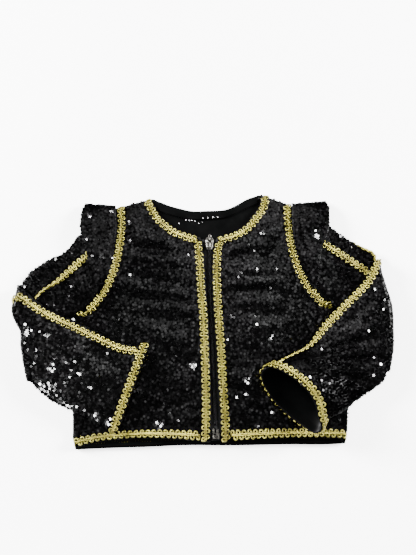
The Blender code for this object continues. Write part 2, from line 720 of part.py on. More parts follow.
# The closed zip: two tapes, the teeth between them and the box at its foot.
TAPES = (ZIP_TOP[1], ZIP_BOTTOM[1])
zip_strip("zip_tape_left", -TAPE_WIDTH, -GAP / 2, TAPES, 0.0, TAPE_THICKNESS, zip_tape)
zip_strip("zip_tape_right", GAP / 2, TAPE_WIDTH, TAPES, 0.0, TAPE_THICKNESS, zip_tape)
over_tape = TAPE_THICKNESS / 2 + GAP
half_chain = CHAIN_WIDTH / 2
zip_strip(
    "zip_teeth",
    -half_chain,
    half_chain,
    (SLIDER[1], TEETH_END),
    over_tape + CHAIN_THICKNESS / 2,
    CHAIN_THICKNESS,
    zip_teeth,
)
stop_z = TAPE_Z + HEM_RISE + over_tape + STOP_SIZE[2] / 2
box("zip_box", (*STOP_CENTRE, stop_z), STOP_SIZE, steel, bevel=0.5)

# The slider: a plate over the teeth with a nose, two flanges beside them and a bridge.
slider_x, slider_y = SLIDER
outline = (
    (-SLIDER_FOOT, SLIDER_FROM),
    (SLIDER_FOOT, SLIDER_FROM),
    (SLIDER_SHOULDER, SLIDER_TO - SHOULDER_DROP),
    (SLIDER_SHOULDER - SHOULDER_CUT, SLIDER_TO),
    (NOSE_WIDTH / 2 - NOSE_NECK, SLIDER_TO),
    (NOSE_WIDTH / 2, NOSE_TO - NOSE_POINT),
    (0.0, NOSE_TO),
    (-NOSE_WIDTH / 2, NOSE_TO - NOSE_POINT),
    (-NOSE_WIDTH / 2 + NOSE_NECK, SLIDER_TO),
    (-SLIDER_SHOULDER + SHOULDER_CUT, SLIDER_TO),
    (-SLIDER_SHOULDER, SLIDER_TO - SHOULDER_DROP),
)
plate_z = SLIDER_BOTTOM + SLIDER_PLATE / 2
slider = plate("zip_slider", outline, None, SLIDER_PLATE, (slider_x, slider_y, plate_z), steel)
flange_height = SLIDER_BOTTOM + SLIDER_PLATE / 2 - FLANGE_BOTTOM
flanges = [
    box(
        f"flange_{end}",
        (
            slider_x + end * (SLIDER_FOOT - FLANGE_WIDTH / 2 - FLANGE_INSET),
            slider_y - FLANGE_SHIFT,
            FLANGE_BOTTOM + flange_height / 2,
        ),
        (FLANGE_WIDTH, SLIDER_TO - SLIDER_FROM - FLANGE_SHORT, flange_height),
        steel,
    )
    for end in (-1, 1)
]
plate_top = SLIDER_BOTTOM + SLIDER_PLATE
bridge_top = plate_top + BRIDGE_ROOM
post_height = BRIDGE_ROOM + BRIDGE_SINK + BRIDGE_WALL
bridge = [
    box(
        f"bridge_post_{end}",
        (
            PULL_PIVOT[0],
            PULL_PIVOT[1] + end * (BRIDGE_HALF_LENGTH - BRIDGE_WALL / 2),
            plate_top + (post_height - 2 * BRIDGE_SINK) / 2,
        ),
        (BRIDGE_WIDTH, BRIDGE_WALL, post_height),
        steel,
    )
    for end in (-1, 1)
]
bridge.append(
    box(
        "bridge_bar",
        (PULL_PIVOT[0], PULL_PIVOT[1], bridge_top + BRIDGE_WALL / 2 - BRIDGE_BAR_INSET),
        (BRIDGE_WIDTH - 2 * BRIDGE_BAR_INSET, 2 * (BRIDGE_HALF_LENGTH - BRIDGE_BAR_INSET), BRIDGE_WALL),
        steel,
    )
)
join(slider, *flanges, *bridge)

# The pull: a plate with an eye, its origin on the axis it turns about.
pull_outline = (
    (-PULL_TIP + PULL_CORNER, PULL_END),
    (PULL_TIP - PULL_CORNER, PULL_END),
    (PULL_TIP, PULL_END + PULL_CORNER),
    (PULL_SHOULDER, PULL_SHOULDER_Y),
    (PULL_NECK, PULL_NECK_Y),
    (PULL_TOP, PULL_BAR),
    (-PULL_TOP, PULL_BAR),
    (-PULL_NECK, PULL_NECK_Y),
    (-PULL_SHOULDER, PULL_SHOULDER_Y),
    (-PULL_TIP, PULL_END + PULL_CORNER),
)
eye = (
    (-PULL_HOLE_HALF, PULL_HOLE_END),
    (PULL_HOLE_HALF, PULL_HOLE_END),
    (PULL_HOLE_HALF, -PULL_BAR),
    (-PULL_HOLE_HALF, -PULL_BAR),
)
plate("zip_pull", pull_outline, eye, PULL_THICKNESS, PULL_PIVOT, steel)
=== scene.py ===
# %% [markdown]
# A child's matador jacket, laid flat on a pale table with its sleeves folded in.
# The real jacket is black sequined cloth, lined in satin and trimmed with gold gimp braid.
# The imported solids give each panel's place and form. This script dresses them: it bends
# every panel with its creases, sews on sequins one by one and lays real braid loops.

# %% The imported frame
import math
from collections import namedtuple

import bpy
import numpy as np
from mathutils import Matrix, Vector


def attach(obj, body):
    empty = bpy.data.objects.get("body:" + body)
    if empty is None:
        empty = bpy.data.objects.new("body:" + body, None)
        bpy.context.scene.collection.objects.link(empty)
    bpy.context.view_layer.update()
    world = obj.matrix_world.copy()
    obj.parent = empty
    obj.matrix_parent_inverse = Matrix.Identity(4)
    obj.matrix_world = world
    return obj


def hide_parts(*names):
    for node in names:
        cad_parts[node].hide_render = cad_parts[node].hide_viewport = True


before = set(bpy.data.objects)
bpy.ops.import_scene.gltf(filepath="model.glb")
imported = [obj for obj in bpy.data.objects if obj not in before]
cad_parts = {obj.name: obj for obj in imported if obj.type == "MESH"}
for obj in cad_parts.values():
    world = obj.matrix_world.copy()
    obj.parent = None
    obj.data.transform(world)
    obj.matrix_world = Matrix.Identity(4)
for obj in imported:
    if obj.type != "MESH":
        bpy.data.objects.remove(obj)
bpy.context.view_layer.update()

# %% [markdown]
# The camera comes first, because the photograph is the guide for everything else. The
# jacket was photographed from a little towards its hem, so the camera looks down at 77
# degrees. The helper `seen` turns a point of the picture into a point at a given height
# over the table, which is how creases and glints are put where the photograph shows them.

# %% Camera
PHOTO_WIDTH, PHOTO_HEIGHT = 416, 555
FOCAL_PIXELS = 760.0
TARGET = np.array([0.0065, 0.0512, 0.0])
DISTANCE = 0.95
LOOK_DOWN = math.radians(77.0)

camera_right = np.array([1.0, 0.0, 0.0])
camera_ahead = np.array([0.0, math.cos(LOOK_DOWN), -math.sin(LOOK_DOWN)])
camera_up = np.array([0.0, math.sin(LOOK_DOWN), math.cos(LOOK_DOWN)])
camera_place = TARGET - camera_ahead * DISTANCE

lens = bpy.data.cameras.new("camera")
lens.sensor_width = 36.0
lens.lens = FOCAL_PIXELS / PHOTO_HEIGHT * lens.sensor_width
lens.clip_start = 0.01
camera = bpy.data.objects.new("camera", lens)
camera.location = camera_place
camera.rotation_euler = (math.pi / 2 - LOOK_DOWN, 0.0, 0.0)
bpy.context.scene.collection.objects.link(camera)
bpy.context.scene.camera = camera


def seen(px, py, height=0.006):
    """The point at this height that shows at a pixel of the photograph, in metres."""
    across = (px - PHOTO_WIDTH / 2) / FOCAL_PIXELS
    upward = (PHOTO_HEIGHT / 2 - py) / FOCAL_PIXELS
    ray = camera_ahead + camera_right * across + camera_up * upward
    return camera_place + ray * (height - camera_place[2]) / ray[2]


print("middle of the picture:", seen(208, 277.5).round(4))

# %% [markdown]
# Shared effects are node groups, so that each material places the same effect with its
# own values. `woven` gives the height of a plain weave, for satin, lining and tape.
# `uneven` gives slow cloudy changes, which keep any cloth from looking like plastic.

# %% Node groups
def group_with(name, inputs, outputs):
    """An empty shader group with named sockets, and its two end nodes."""
    group = bpy.data.node_groups.new(name, "ShaderNodeTree")
    for socket, kind, value in inputs:
        made = group.interface.new_socket(socket, in_out="INPUT", socket_type=kind)
        if value is not None:
            made.default_value = value
    for socket, kind in outputs:
        group.interface.new_socket(socket, in_out="OUTPUT", socket_type=kind)
    return group, group.nodes.new("NodeGroupInput"), group.nodes.new("NodeGroupOutput")


def math_node(tree, operation, first, second=None, third=None):
    """Mathematics on sockets or numbers."""
    node = tree.nodes.new("ShaderNodeMath")
    node.operation = operation
    for socket, value in zip(node.inputs, (first, second, third)):
        if value is None:
            continue
        if isinstance(value, (int, float)):
            socket.default_value = value
        else:
            tree.links.new(value, socket)
    return node.outputs[0]


woven, enter, leave = group_with(
    "woven",
    [("Vector", "NodeSocketVector", None), ("Threads per metre", "NodeSocketFloat", 1500.0)],
    [("Height", "NodeSocketFloat")],
)
split = woven.nodes.new("ShaderNodeSeparateXYZ")
woven.links.new(enter.outputs["Vector"], split.inputs[0])
turns = math_node(woven, "MULTIPLY", enter.outputs["Threads per metre"], math.pi)
warp = math_node(woven, "SINE", math_node(woven, "MULTIPLY", split.outputs["X"], turns))
weft = math_node(woven, "SINE", math_node(woven, "MULTIPLY", split.outputs["Y"], turns))
woven.links.new(math_node(woven, "MULTIPLY", warp, weft), leave.inputs["Height"])

uneven, enter, leave = group_with(
    "uneven",
    [
        ("Vector", "NodeSocketVector", None),
        ("Patches per metre", "NodeSocketFloat", 40.0),
        ("Low", "NodeSocketFloat", 0.8),
        ("High", "NodeSocketFloat", 1.2),
    ],
    [("Value", "NodeSocketFloat")],
)
cloud = uneven.nodes.new("ShaderNodeTexNoise")
cloud.inputs["Detail"].default_value = 3.0
uneven.links.new(enter.outputs["Vector"], cloud.inputs["Vector"])
uneven.links.new(enter.outputs["Patches per metre"], cloud.inputs["Scale"])
spread = uneven.nodes.new("ShaderNodeMapRange")
spread.inputs["From Min"].default_value = 0.3
spread.inputs["From Max"].default_value = 0.7
uneven.links.new(cloud.outputs["Fac"], spread.inputs["Value"])
uneven.links.new(enter.outputs["Low"], spread.inputs["To Min"])
uneven.links.new(enter.outputs["High"], spread.inputs["To Max"])
uneven.links.new(spread.outputs["Result"], leave.inputs["Value"])
print("groups:", woven.name, uneven.name)

# %% [markdown]
# Each finish is one material. A helper starts it with its Principled shader and the
# object's own coordinates, since the table that the jacket lies on never moves them.

# %% Helpers for materials
def finish(name, colour, roughness, metallic=0.0, specular=0.5):
    """A new material, its tree, its shader and the object coordinates in it."""
    made = bpy.data.materials.new(name)
    made.use_nodes = True
    tree = made.node_tree
    shader = tree.nodes["Principled BSDF"]
    shader.inputs["Base Color"].default_value = (*colour, 1.0)
    shader.inputs["Roughness"].default_value = roughness
    shader.inputs["Metallic"].default_value = metallic
    shader.inputs["IOR"].default_value = 1.5
    shader.inputs["Specular IOR Level"].default_value = specular
    place = tree.nodes.new("ShaderNodeTexCoord").outputs["Object"]
    return made, tree, shader, place


def use_group(tree, group, vector, **values):
    """A node group at work in a material, with its own values."""
    node = tree.nodes.new("ShaderNodeGroup")
    node.node_tree = group
    tree.links.new(vector, node.inputs["Vector"])
    for socket, value in values.items():
        node.inputs[socket.replace("_", " ")].default_value = value
    return node.outputs[0]


def uneven_gloss(tree, shader, place, patches, low, high):
    """A roughness that changes slowly over the surface."""
    value = use_group(tree, uneven, place, Patches_per_metre=patches, Low=low, High=high)
    tree.links.new(value, shader.inputs["Roughness"])


def attribute(tree, name):
    """The number that each face carries under this name."""
    node = tree.nodes.new("ShaderNodeAttribute")
    node.attribute_name = name
    return node.outputs["Fac"]


def vector_node(tree, operation, first, second):
    """Vector mathematics on a socket and a second socket, vector or scale."""
    node = tree.nodes.new("ShaderNodeVectorMath")
    node.operation = operation
    tree.links.new(first, node.inputs[0])
    if isinstance(second, float):
        node.inputs["Scale"].default_value = second
    elif isinstance(second, tuple):
        node.inputs[1].default_value = second
    else:
        tree.links.new(second, node.inputs[1])
    return node.outputs["Value" if operation == "DOT_PRODUCT" else "Vector"]


def tint(tree, shader, value, dark, light, light_at=1.0):
    """A base colour that goes from one tone to the other as the value grows."""
    node = tree.nodes.new("ShaderNodeValToRGB")
    for point, place, colour in zip(node.color_ramp.elements, (0.0, light_at), (dark, light)):
        point.position = place
        point.color = (*colour, 1.0)
    tree.links.new(value, node.inputs[0])
    tree.links.new(node.outputs[0], shader.inputs["Base Color"])


def bump(tree, shader, height, strength, distance):
    """Relief from a height, as bump."""
    node = tree.nodes.new("ShaderNodeBump")
    node.inputs["Strength"].default_value = strength
    node.inputs["Distance"].default_value = distance
    tree.links.new(height, node.inputs["Height"])
    tree.links.new(node.outputs[0], shader.inputs["Normal"])

# %% [markdown]
# Sequins are small discs of black film. They are smooth, so each one is a mirror that
# shows the lamp only when it tilts the right way. Every disc carries two numbers: `shade`
# sets its tone and gloss, and `flash` says how strongly it reflects, so that most discs
# stay dull and a few of them flash.

# %% Sequins and the net they are sewn to
CELLS_PER_METRE = 360.0
BLACK = (0.001, 0.001, 0.001)
sequin_film, tree, shader, place = finish("sequin_film", BLACK, 0.12)
shade = attribute(tree, "shade")
tint(tree, shader, shade, (0.0001, 0.0001, 0.0001), (0.0007, 0.00065, 0.0007))
tree.links.new(math_node(tree, "MULTIPLY_ADD", shade, 0.12, 0.05), shader.inputs["Roughness"])
tree.links.new(attribute(tree, "flash"), shader.inputs["Specular IOR Level"])

sequin_ground, tree, shader, place = finish("sequin_ground", BLACK, 0.45, specular=0.06)
cells = tree.nodes.new("ShaderNodeTexVoronoi")
cells.inputs["Scale"].default_value = CELLS_PER_METRE
tree.links.new(place, cells.inputs["Vector"])
lean = vector_node(tree, "SUBTRACT", cells.outputs["Color"], (0.5, 0.5, 0.5))
here = vector_node(tree, "SCALE", place, CELLS_PER_METRE)
centre = vector_node(tree, "SCALE", cells.outputs["Position"], CELLS_PER_METRE)
facet = vector_node(tree, "DOT_PRODUCT", lean, vector_node(tree, "SUBTRACT", here, centre))
disc = math_node(tree, "LESS_THAN", cells.outputs["Distance"], 0.62)
bump(tree, shader, math_node(tree, "MULTIPLY", facet, disc), 0.5, 0.0012)
tint(tree, shader, cells.outputs["Distance"], (0.0005, 0.0005, 0.0005), (0.0001, 0.0001, 0.0001), 0.8)

# %% [markdown]
# The lining is black satin. Its threads are far finer than a pixel, so it needs little
# more than a soft, slightly uneven sheen.

# %% Lining
lining, tree, shader, place = finish("lining_satin", (0.0003, 0.00035, 0.00035), 0.4, specular=0.045)
uneven_gloss(tree, shader, place, 55.0, 0.3, 0.5)
shader.inputs["Sheen Weight"].default_value = 0.002
shader.inputs["Sheen Roughness"].default_value = 0.4
shader.inputs["Sheen Tint"].default_value = (0.5, 0.6, 0.58, 1.0)
bump(tree, shader, use_group(tree, woven, place, Threads_per_metre=3200.0), 0.02, 0.0002)

# %% [markdown]
# Gimp is a cord wound with metallic thread. The windings run round each cord, so the
# stripes follow the cord's own UV map: U runs along it and V goes round it.

# %% Gold thread
WINDINGS = 2.6


def gold_thread(name, dark, light, roughness):
    """Thread wound round a cord, painted dark between its turns as shade and light on them."""
    made, tree, shader, place = finish(name, light, roughness, metallic=0.8)
    uv = tree.nodes.new("ShaderNodeUVMap")
    uv.uv_map = "thread"
    parts = tree.nodes.new("ShaderNodeSeparateXYZ")
    tree.links.new(uv.outputs[0], parts.inputs[0])
    run = math_node(tree, "MULTIPLY", parts.outputs["X"], WINDINGS)
    wound = math_node(tree, "ADD", run, parts.outputs["Y"])
    winding_relief_and_shade = math_node(tree, "SINE", math_node(tree, "MULTIPLY", wound, 2.0 * math.pi))
    cloudy = use_group(tree, uneven, place, Patches_per_metre=90.0, Low=-0.25, High=0.25)
    # Painted shade: the colour darkens in the grooves between turns, while the bump below gives their real
    # relief.
    tone = math_node(tree, "ADD", math_node(tree, "MULTIPLY_ADD", winding_relief_and_shade, 0.28, 0.5), cloudy)
    tint(tree, shader, tone, dark, light, 0.75)
    bump(tree, shader, winding_relief_and_shade, 0.5, 0.0002)
    return made


loop_gold = gold_thread("loop_gold", (0.012, 0.008, 0.0005), (0.212, 0.19, 0.034), 0.3)
cord_gold = gold_thread("cord_gold", (0.01, 0.006, 0.0003), (0.166, 0.142, 0.015), 0.34)

# %% [markdown]
# The zip has black twill tape, a dark nylon coil and nickel-plated metal.

# %% Zip finishes
tape_cloth, tree, shader, place = finish("tape_cloth", (0.0022, 0.0022, 0.0024), 0.75, specular=0.2)
bump(tree, shader, use_group(tree, woven, place, Threads_per_metre=1600.0), 0.5, 0.0002)
uneven_gloss(tree, shader, place, 120.0, 0.6, 0.85)

coil_nylon_and_hole_shade, tree, shader, place = finish("coil_nylon_and_hole_shade", (0.0025, 0.0025, 0.003), 0.35, specular=0.22)
uneven_gloss(tree, shader, place, 150.0, 0.25, 0.45)

nickel, tree, shader, place = finish("nickel", (0.66, 0.64, 0.58), 0.26, metallic=1.0)
uneven_gloss(tree, shader, place, 700.0, 0.2, 0.42)
worn = use_group(tree, uneven, place, Patches_per_metre=350.0, Low=0.0, High=1.0)
tint(tree, shader, worn, (0.045, 0.043, 0.038), (0.16, 0.153, 0.138))
print("materials:", len(bpy.data.materials))

# %% [markdown]
# The panels are read from short tables of the jacket's own rows, in millimetres, the same
# ones that shaped the solids. Each table row is one line across a panel. A smooth curve
# through the rows gives as many rows as the cloth needs to bend softly.

# %% Sizes that the panels share
SIDES = ("left", "right")
BOX_MIDDLE = np.array([-0.53, -0.67, 0.0])
CLOTH = 1.8
SLEEVE_WALL = 1.7
SEAM = 1.5
BRAID_WIDTH = 10.5
BRAID_BASE = 1.2
ARMHOLE_BOW = 20.5
ARMHOLES = {
    "left": np.array([[-110.0, 139.5], [-155.5, 1.5]]),
    "right": np.array([[112.0, 142.5], [163.0, 11.5]]),
}


def rows_of(kind, *rows):
    """A table, whose rows all get the names of its columns."""
    return [kind(*row) for row in rows]


# %% [markdown]
# In the tables of the fronts and the wings, `outer`, `inner`, `free` and `bow` are pairs:
# the left side's value, then the right side's. Where the fronts' or the back's table has a
# number in place of a point, the point lies at that share of the way down the armhole.

# %% Table of the fronts
ARMHOLE_END = 16
NARROW_EDGE = 3.0
CORNER_ROW = 14
FRONT_PUFF = 1.0
FrontRow = namedtuple("FrontRow", "outer inner outer_z inner_z bow")
FRONT = rows_of(
    FrontRow,
    ((0.00, 0.00), ((-67, 151.5), (74, 157.5)), 3.1, 3.1, (0, 0)),
    ((0.12, 0.12), ((-60, 137.5), (73.5, 147)), 4.2, 3.8, (0, 0)),
    ((0.25, 0.25), ((-53, 126.5), (70, 138.5)), 5.2, 4.3, (0, 0)),
    ((0.36, 0.36), ((-44, 118.5), (63.5, 129.5)), 5.8, 4.6, (0, 0)),
    ((0.47, 0.47), ((-34, 110.5), (56, 119.5)), 6.1, 4.8, (0, 0)),
    ((0.58, 0.58), ((-22, 105.5), (45, 110)), 6.1, 4.9, (0, 0)),
    ((0.68, 0.68), ((-11, 101.5), (31, 103)), 5.9, 5.0, (0, 0)),
    ((0.78, 0.78), ((-3, 97.5), (16.5, 98)), 5.4, 5.0, (0, 0)),
    ((0.90, 0.90), ((0, 74), (12.5, 74)), 4.4, 5.0, (0, 0)),
    ((0.96, 0.96), ((1, 60), (12, 60)), 3.6, 5.0, (0, 0)),
    ((1.00, 1.00), ((2, 46), (12, 46)), 3.2, 5.0, (0, 0)),
    (((-156.4, -8), (163.4, 1)), ((3, 30), (12.5, 30)), 3.1, 5.0, (0, 0)),
    (((-157, -27), (168, -17)), ((5, 8), (13.5, 8)), 3.1, 5.0, (0, 0)),
    (((-156, -57), (171.5, -47)), ((7, -38), (16.5, -38)), 3.1, 5.0, (0, 0)),
    (((-155, -92), (173, -84)), ((8.5, -78), (18.5, -78)), 3.1, 5.0, (0, 0)),
    (((-154, -127), (172.5, -119)), ((9, -115), (21, -115)), 4.2, 5.4, (3, 1)),
    (((-149.5, -157), (169, -147)), ((8, -150.5), (22, -150.5)), 5.2, 5.8, (8, 3)),
)
print("rows of a front:", len(FRONT))

# %% [markdown]
# The back is one wide panel under everything else. A grid cut from a single table keeps its
# armholes on the very curves of the fronts, so that the seams meet.

# %% Table of the back
BackRow = namedtuple("BackRow", "left right lift")
BACK = rows_of(
    BackRow,
    *((share, share, 0.0) for share in (0.0, 0.15, 0.32, 0.48, 0.64, 0.78, 0.9, 0.96, 1.0)),
    ((-156.4, -8), (163.4, 1), 0.0),
    ((-157, -50), (171.5, -40), 0.0),
    ((-156, -100), (173, -90), 0.0),
    ((-154.5, -138), (172, -128), 0.0),
    ((-154, -146), (171, -136), 1.6),
    ((-150.5, -159), (168, -151), 1.6),
)
BACK_NECK = ((-67, 151.5), (-46, 142), (-21, 135.5), (2, 134.5), (29, 138.5), (52, 149), (74, 157.5))
print("rows of the back:", len(BACK))

# %% [markdown]
# A folded sleeve could be draped with a cloth simulation, but then its edges would lie
# wherever they fell. Listed rings keep its outline where the photograph has it.

# %% Tables of the sleeves
TURN_RADIUS = 4.2
TURN_STEPS = 6
Ring = namedtuple("Ring", "top under height half turn bow")
UPPER_ARM = {
    "left": rows_of(
        Ring,
        ((-111.5, 140.0), (-157.1, 2.5), 3.6, 3.6, 0, 20.2),
        ((-129, 124), (-174, -11), 4.4, 4.4, 0, 11),
        ((-151, 106), (-182, -26), 4.6, 4.6, 0, 6),
        ((-173, 87), (-188, -42), 4.2, 4.2, 0, 2),
        ((-196, 69), (-199, -59), 3.9, 3.9, 0, -2),
    ),
    "right": rows_of(
        Ring,
        ((113.5, 143.0), (165.0, 12.9), 3.6, 3.6, 0, 20.2),
        ((136, 129), (186, -5), 4.4, 4.4, 0, 10),
        ((160, 115), (190, -20), 4.6, 4.6, 0, 6),
        ((183, 99), (199, -36), 4.2, 4.2, 0, 2),
        ((204, 84), (206, -50), 3.9, 3.9, 0, -2),
    ),
}
ELBOW = {
    "left": Ring((-223.5, 36), (-204, -77), 8.1, 3.9, 0, -3),
    "right": Ring((213, 66), (217, -66), 8.1, 3.9, 0, -6),
}
FOREARM = {
    "left": rows_of(
        Ring,
        ((-196, 13), (-188, -94), 13.0, 4.3, 180, -1),
        ((-160, -5), (-160, -111), 14.2, 4.6, 180, 0),
        ((-125, -21), (-131, -126), 14.6, 4.4, 180, 0),
        ((-95, -34), (-113, -135), 14.4, 4.0, 180, 0),
        ((-65, -36.5), (-101, -141), 14.2, 3.6, 180, 0),
    ),
    "right": rows_of(
        Ring,
        ((198, 43), (213, -78), 13.0, 4.3, 180, -2),
        ((172, 17), (197, -93), 14.0, 4.9, 180, 0),
        ((147, -9), (181, -103), 15.4, 6.0, 178, 0),
        ((126, -34), (167, -115), 18.6, 9.2, 170, 0),
        ((99, -50), (154, -125), 22.4, 14.5, 146, 0),
        ((71.5, -66.5), (141, -135), 24.6, 20.5, 119, 0),
    ),
}
print("rows of an upper arm:", len(UPPER_ARM["left"]))

# %% [markdown]
# A wing is a leaf between the armhole and a free edge. Each row of its table goes from the
# seam to that edge, so a column of the grid is a line of the fold.

# %% Table of the wings
WING_ROOT_Z = 7.9
WING_TOP_DROP = 2.2
WING_DROP_SHARE = 0.12
WING_FOLD = 2.4
WING_UNDER = (0.3, 14.0)
WingRow = namedtuple("WingRow", "share free free_z")
WING = rows_of(
    WingRow,
    (0.00, ((-149, 141.5), (155, 144.5)), 5.6),
    (0.07, ((-152.5, 130.5), (158.5, 133.5)), 8.6),
    (0.18, ((-153, 114.5), (157.5, 115)), 10.8),
    (0.30, ((-151.5, 102), (154, 101)), 11.4),
    (0.42, ((-147, 88), (149, 90)), 11.4),
    (0.54, ((-143, 73), (146, 76)), 11.0),
    (0.64, ((-139.5, 55), (143, 58)), 10.4),
    (0.72, ((-138, 38), (140.5, 42)), 9.8),
    (0.76, ((-136, 30), (139, 35)), 9.4),
)
print("rows of a wing:", len(WING))

# %% [markdown]
# A panel is a grid of points. These helpers smooth a grid, find its normals and move it
# along them, which is how cloth gets its thickness and how braid comes to lie on cloth.

# %% Grids
BOW_POWER, BOW_PEAK = 0.7, 0.31


def metres(points):
    """Table millimetres as the object's metres."""
    return (np.asarray(points, float) - BOX_MIDDLE) * 0.001


def smooth_rows(rows, steps):
    """A smooth curve through the rows, with steps to each stretch."""
    rows = np.asarray(rows, float)
    before = np.concatenate([rows[:1], rows[:-2]])
    start, end = rows[:-1], rows[1:]
    after = np.concatenate([rows[2:], rows[-1:]])
    found = []
    for k in range(steps):
        t = k / steps
        bend = 2 * before - 5 * start + 4 * end - after
        swing = 3 * start - before + after - 3 * end
        found.append(start + 0.5 * t * (end - before + t * (bend + t * swing)))
    merged = np.stack(found, axis=1).reshape(-1, *rows.shape[1:])
    return np.concatenate([merged, rows[-1:]])


def finer(grid, along, across):
    """A grid with more rows and columns."""
    rows = smooth_rows(grid, along)
    return smooth_rows(rows.swapaxes(0, 1), across).swapaxes(0, 1)


def unit(vectors):
    """Vectors made one long."""
    return vectors / np.maximum(np.linalg.norm(vectors, axis=-1, keepdims=True), 1e-12)


def normals_of(grid, closed=False):
    """The normal at each point of a grid: upward, or outward where it is closed."""
    if closed:
        along = np.roll(grid, -1, axis=1) - np.roll(grid, 1, axis=1)
        out = grid - grid.mean(axis=1, keepdims=True)
    else:
        along = np.gradient(grid, axis=1)
        out = np.array([0.0, 0.0, 1.0])
    normals = unit(np.cross(along, np.gradient(grid, axis=0)))
    return -normals if (normals * out).sum(-1).mean() < 0 else normals


def lifted(grid, height):
    """A grid moved along its normals."""
    return grid + normals_of(grid) * height


def bow_shape(share):
    """0 at both ends and 1 a little past the middle."""
    share = np.clip(share, 0.0, 1.0)
    return share * (1.0 - share) ** BOW_POWER / BOW_PEAK


def armhole_point(armhole, share):
    """The point of an armhole at a share of its way down, bowed in towards the body."""
    shoulder, underarm = armhole
    side = -1.0 if shoulder[0] < 0 else 1.0
    chord = underarm - shoulder
    inward = unit(np.array([chord[1], -chord[0]])) * side
    return shoulder + chord * share + inward * ARMHOLE_BOW * bow_shape(share)


def edge_point(value, armhole):
    """A point of a table, which may be a share of the way down the armhole."""
    return armhole_point(armhole, value) if isinstance(value, float) else np.array(value, float)


# %% [markdown]
# The fronts. Their edges are a braid's width wide, so that the braid can be laid on the
# grid's own columns. The cloth of a laid jacket is never flat: it holds soft troughs that
# run from the armhole towards the zip. They are placed where the picture shows them,
# as lines with a width and a depth in millimetres.

# %% Creases
Crease = namedtuple("Crease", "start end width depth")
FRONT_CREASES = (
    Crease((-100, 86), (-20, 92), 9, -0.7),
    Crease((-98, 50), (-12, 44), 10, -0.6),
    Crease((-96, 24), (-14, 14), 9, -0.7),
    Crease((30, 82), (104, 74), 9, -0.7),
    Crease((28, 34), (112, 24), 10, -0.6),
    Crease((34, 16), (100, 2), 9, -0.6),
    Crease((-60, 70), (-30, -10), 14, 0.5),
    Crease((60, 60), (48, -30), 14, 0.5),
)


def table_mm(px, py, height=0.006):
    """The X and Y of a pixel of the photograph at this height, in the tables' millimetres."""
    return seen(px, py, height)[:2] * 1000 + BOX_MIDDLE[:2]


def crease_height(points, creases):
    """What the creases add at each point, from its X and Y."""
    flat = points[..., :2]
    total = np.zeros(flat.shape[:-1])
    for crease in creases:
        start, end = np.array(crease.start, float), np.array(crease.end, float)
        run = end - start
        share = ((flat - start) @ run) / (run @ run)
        off = np.linalg.norm(flat - start - share[..., None] * run, axis=-1) / crease.width
        fade = np.sin(np.pi * np.clip(share, 0, 1))
        total += np.where((share > 0) & (share < 1), crease.depth * np.exp(-off * off) * fade, 0)
    return total


def picture_creases(lines, height=0.006):
    """Creases from lines of the photograph: two pixels, then a width and a depth."""
    return [
        Crease(table_mm(x0, y0, height), table_mm(x1, y1, height), width, depth)
        for x0, y0, x1, y1, width, depth in lines
    ]


FRONT_FOLDS = {}
FRONT_FOLDS["left"] = picture_creases([
    (124, 236, 176, 244, 5, 1.2), (122, 246, 186, 254, 4.5, -1.3), (128, 258, 196, 262, 5, 0.9),
    (120, 274, 188, 286, 5, -1.4), (116, 284, 196, 298, 5, 1.2), (108, 292, 176, 306, 4.5, -1.0),
    (126, 300, 202, 312, 5.5, 0.9), (128, 316, 196, 322, 6, -0.9), (140, 330, 196, 342, 7, 0.8),
    (150, 356, 200, 364, 8, -0.8), (150, 384, 200, 380, 8, 0.9), (146, 410, 202, 404, 8, -0.8),
    (140, 212, 150, 236, 5, -0.9), (132, 216, 138, 240, 5, 0.9),
])
FRONT_FOLDS["right"] = picture_creases([
    (222, 262, 262, 250, 4.5, -1.5), (222, 253, 264, 240, 5, 1.2), (226, 272, 284, 268, 5, 0.9),
    (224, 292, 276, 290, 5, -1.4), (222, 284, 288, 280, 5, 1.1), (228, 302, 286, 304, 5, 1.1),
    (230, 312, 292, 318, 6, -1.0), (240, 328, 296, 322, 6, 0.9), (254, 262, 276, 226, 6, 1.0),
    (264, 268, 284, 232, 5, -0.9), (236, 344, 270, 360, 7, -0.9), (230, 372, 262, 384, 7, 0.9),
    (232, 404, 268, 410, 8, -0.8),
])
print("creases of the fronts:", len(FRONT_FOLDS["left"]) + len(FRONT_FOLDS["right"]))

# %% [markdown]
# Laid cloth has no straight outlines either. A pull moves everything round one pixel of
# the photograph by a few pixels, less and less with the distance, so that a cut edge and
# the braid beside it swell together.

# %% Pulls
Pull = namedtuple("Pull", "px py right down reach")
PULL_PIXEL = 1.22
CUFF_HEIGHT = 0.026
SLEEVE_PULLS = rows_of(
    Pull,
    (12, 311, -6.2, 0.0, 14), (29, 269, -4.4, -4.9, 13), (23, 281, -3.0, -2.6, 8),
    (62, 248, 1.2, 2.8, 12), (81, 240, -1.0, -1.6, 6), (17, 334, 2.8, 0.0, 9),
    (21, 352, 0.8, 0.0, 10), (32, 387, -2.7, 2.3, 11), (48, 398, -1.0, 1.4, 9),
    (62, 406, -0.6, 1.8, 10), (67, 411, 0.6, -0.4, 8), (344, 235, -0.2, 0.8, 12),
    (360, 246, -0.4, 1.6, 8), (376, 256, 5.6, -5.2, 9), (394, 308, 3.2, 0.0, 20),
    (394, 345, 1.8, 0.0, 20), (386, 377, 2.4, 1.6, 13), (368, 393, -0.6, -0.4, 10),
)
CUFF_PULLS = rows_of(
    Pull,
    (333, 417, -5.0, 0.0, 10), (326, 414, -4.0, 0.0, 12), (316, 431, -1.0, 3.0, 9),
    (322, 398, -1.5, 1.0, 10),
)
WING_PULLS = rows_of(Pull, (83, 210, -1.4, -0.6, 9), (81, 228, -1.0, 0.0, 12), (329, 206, 1.6, -1.0, 6))
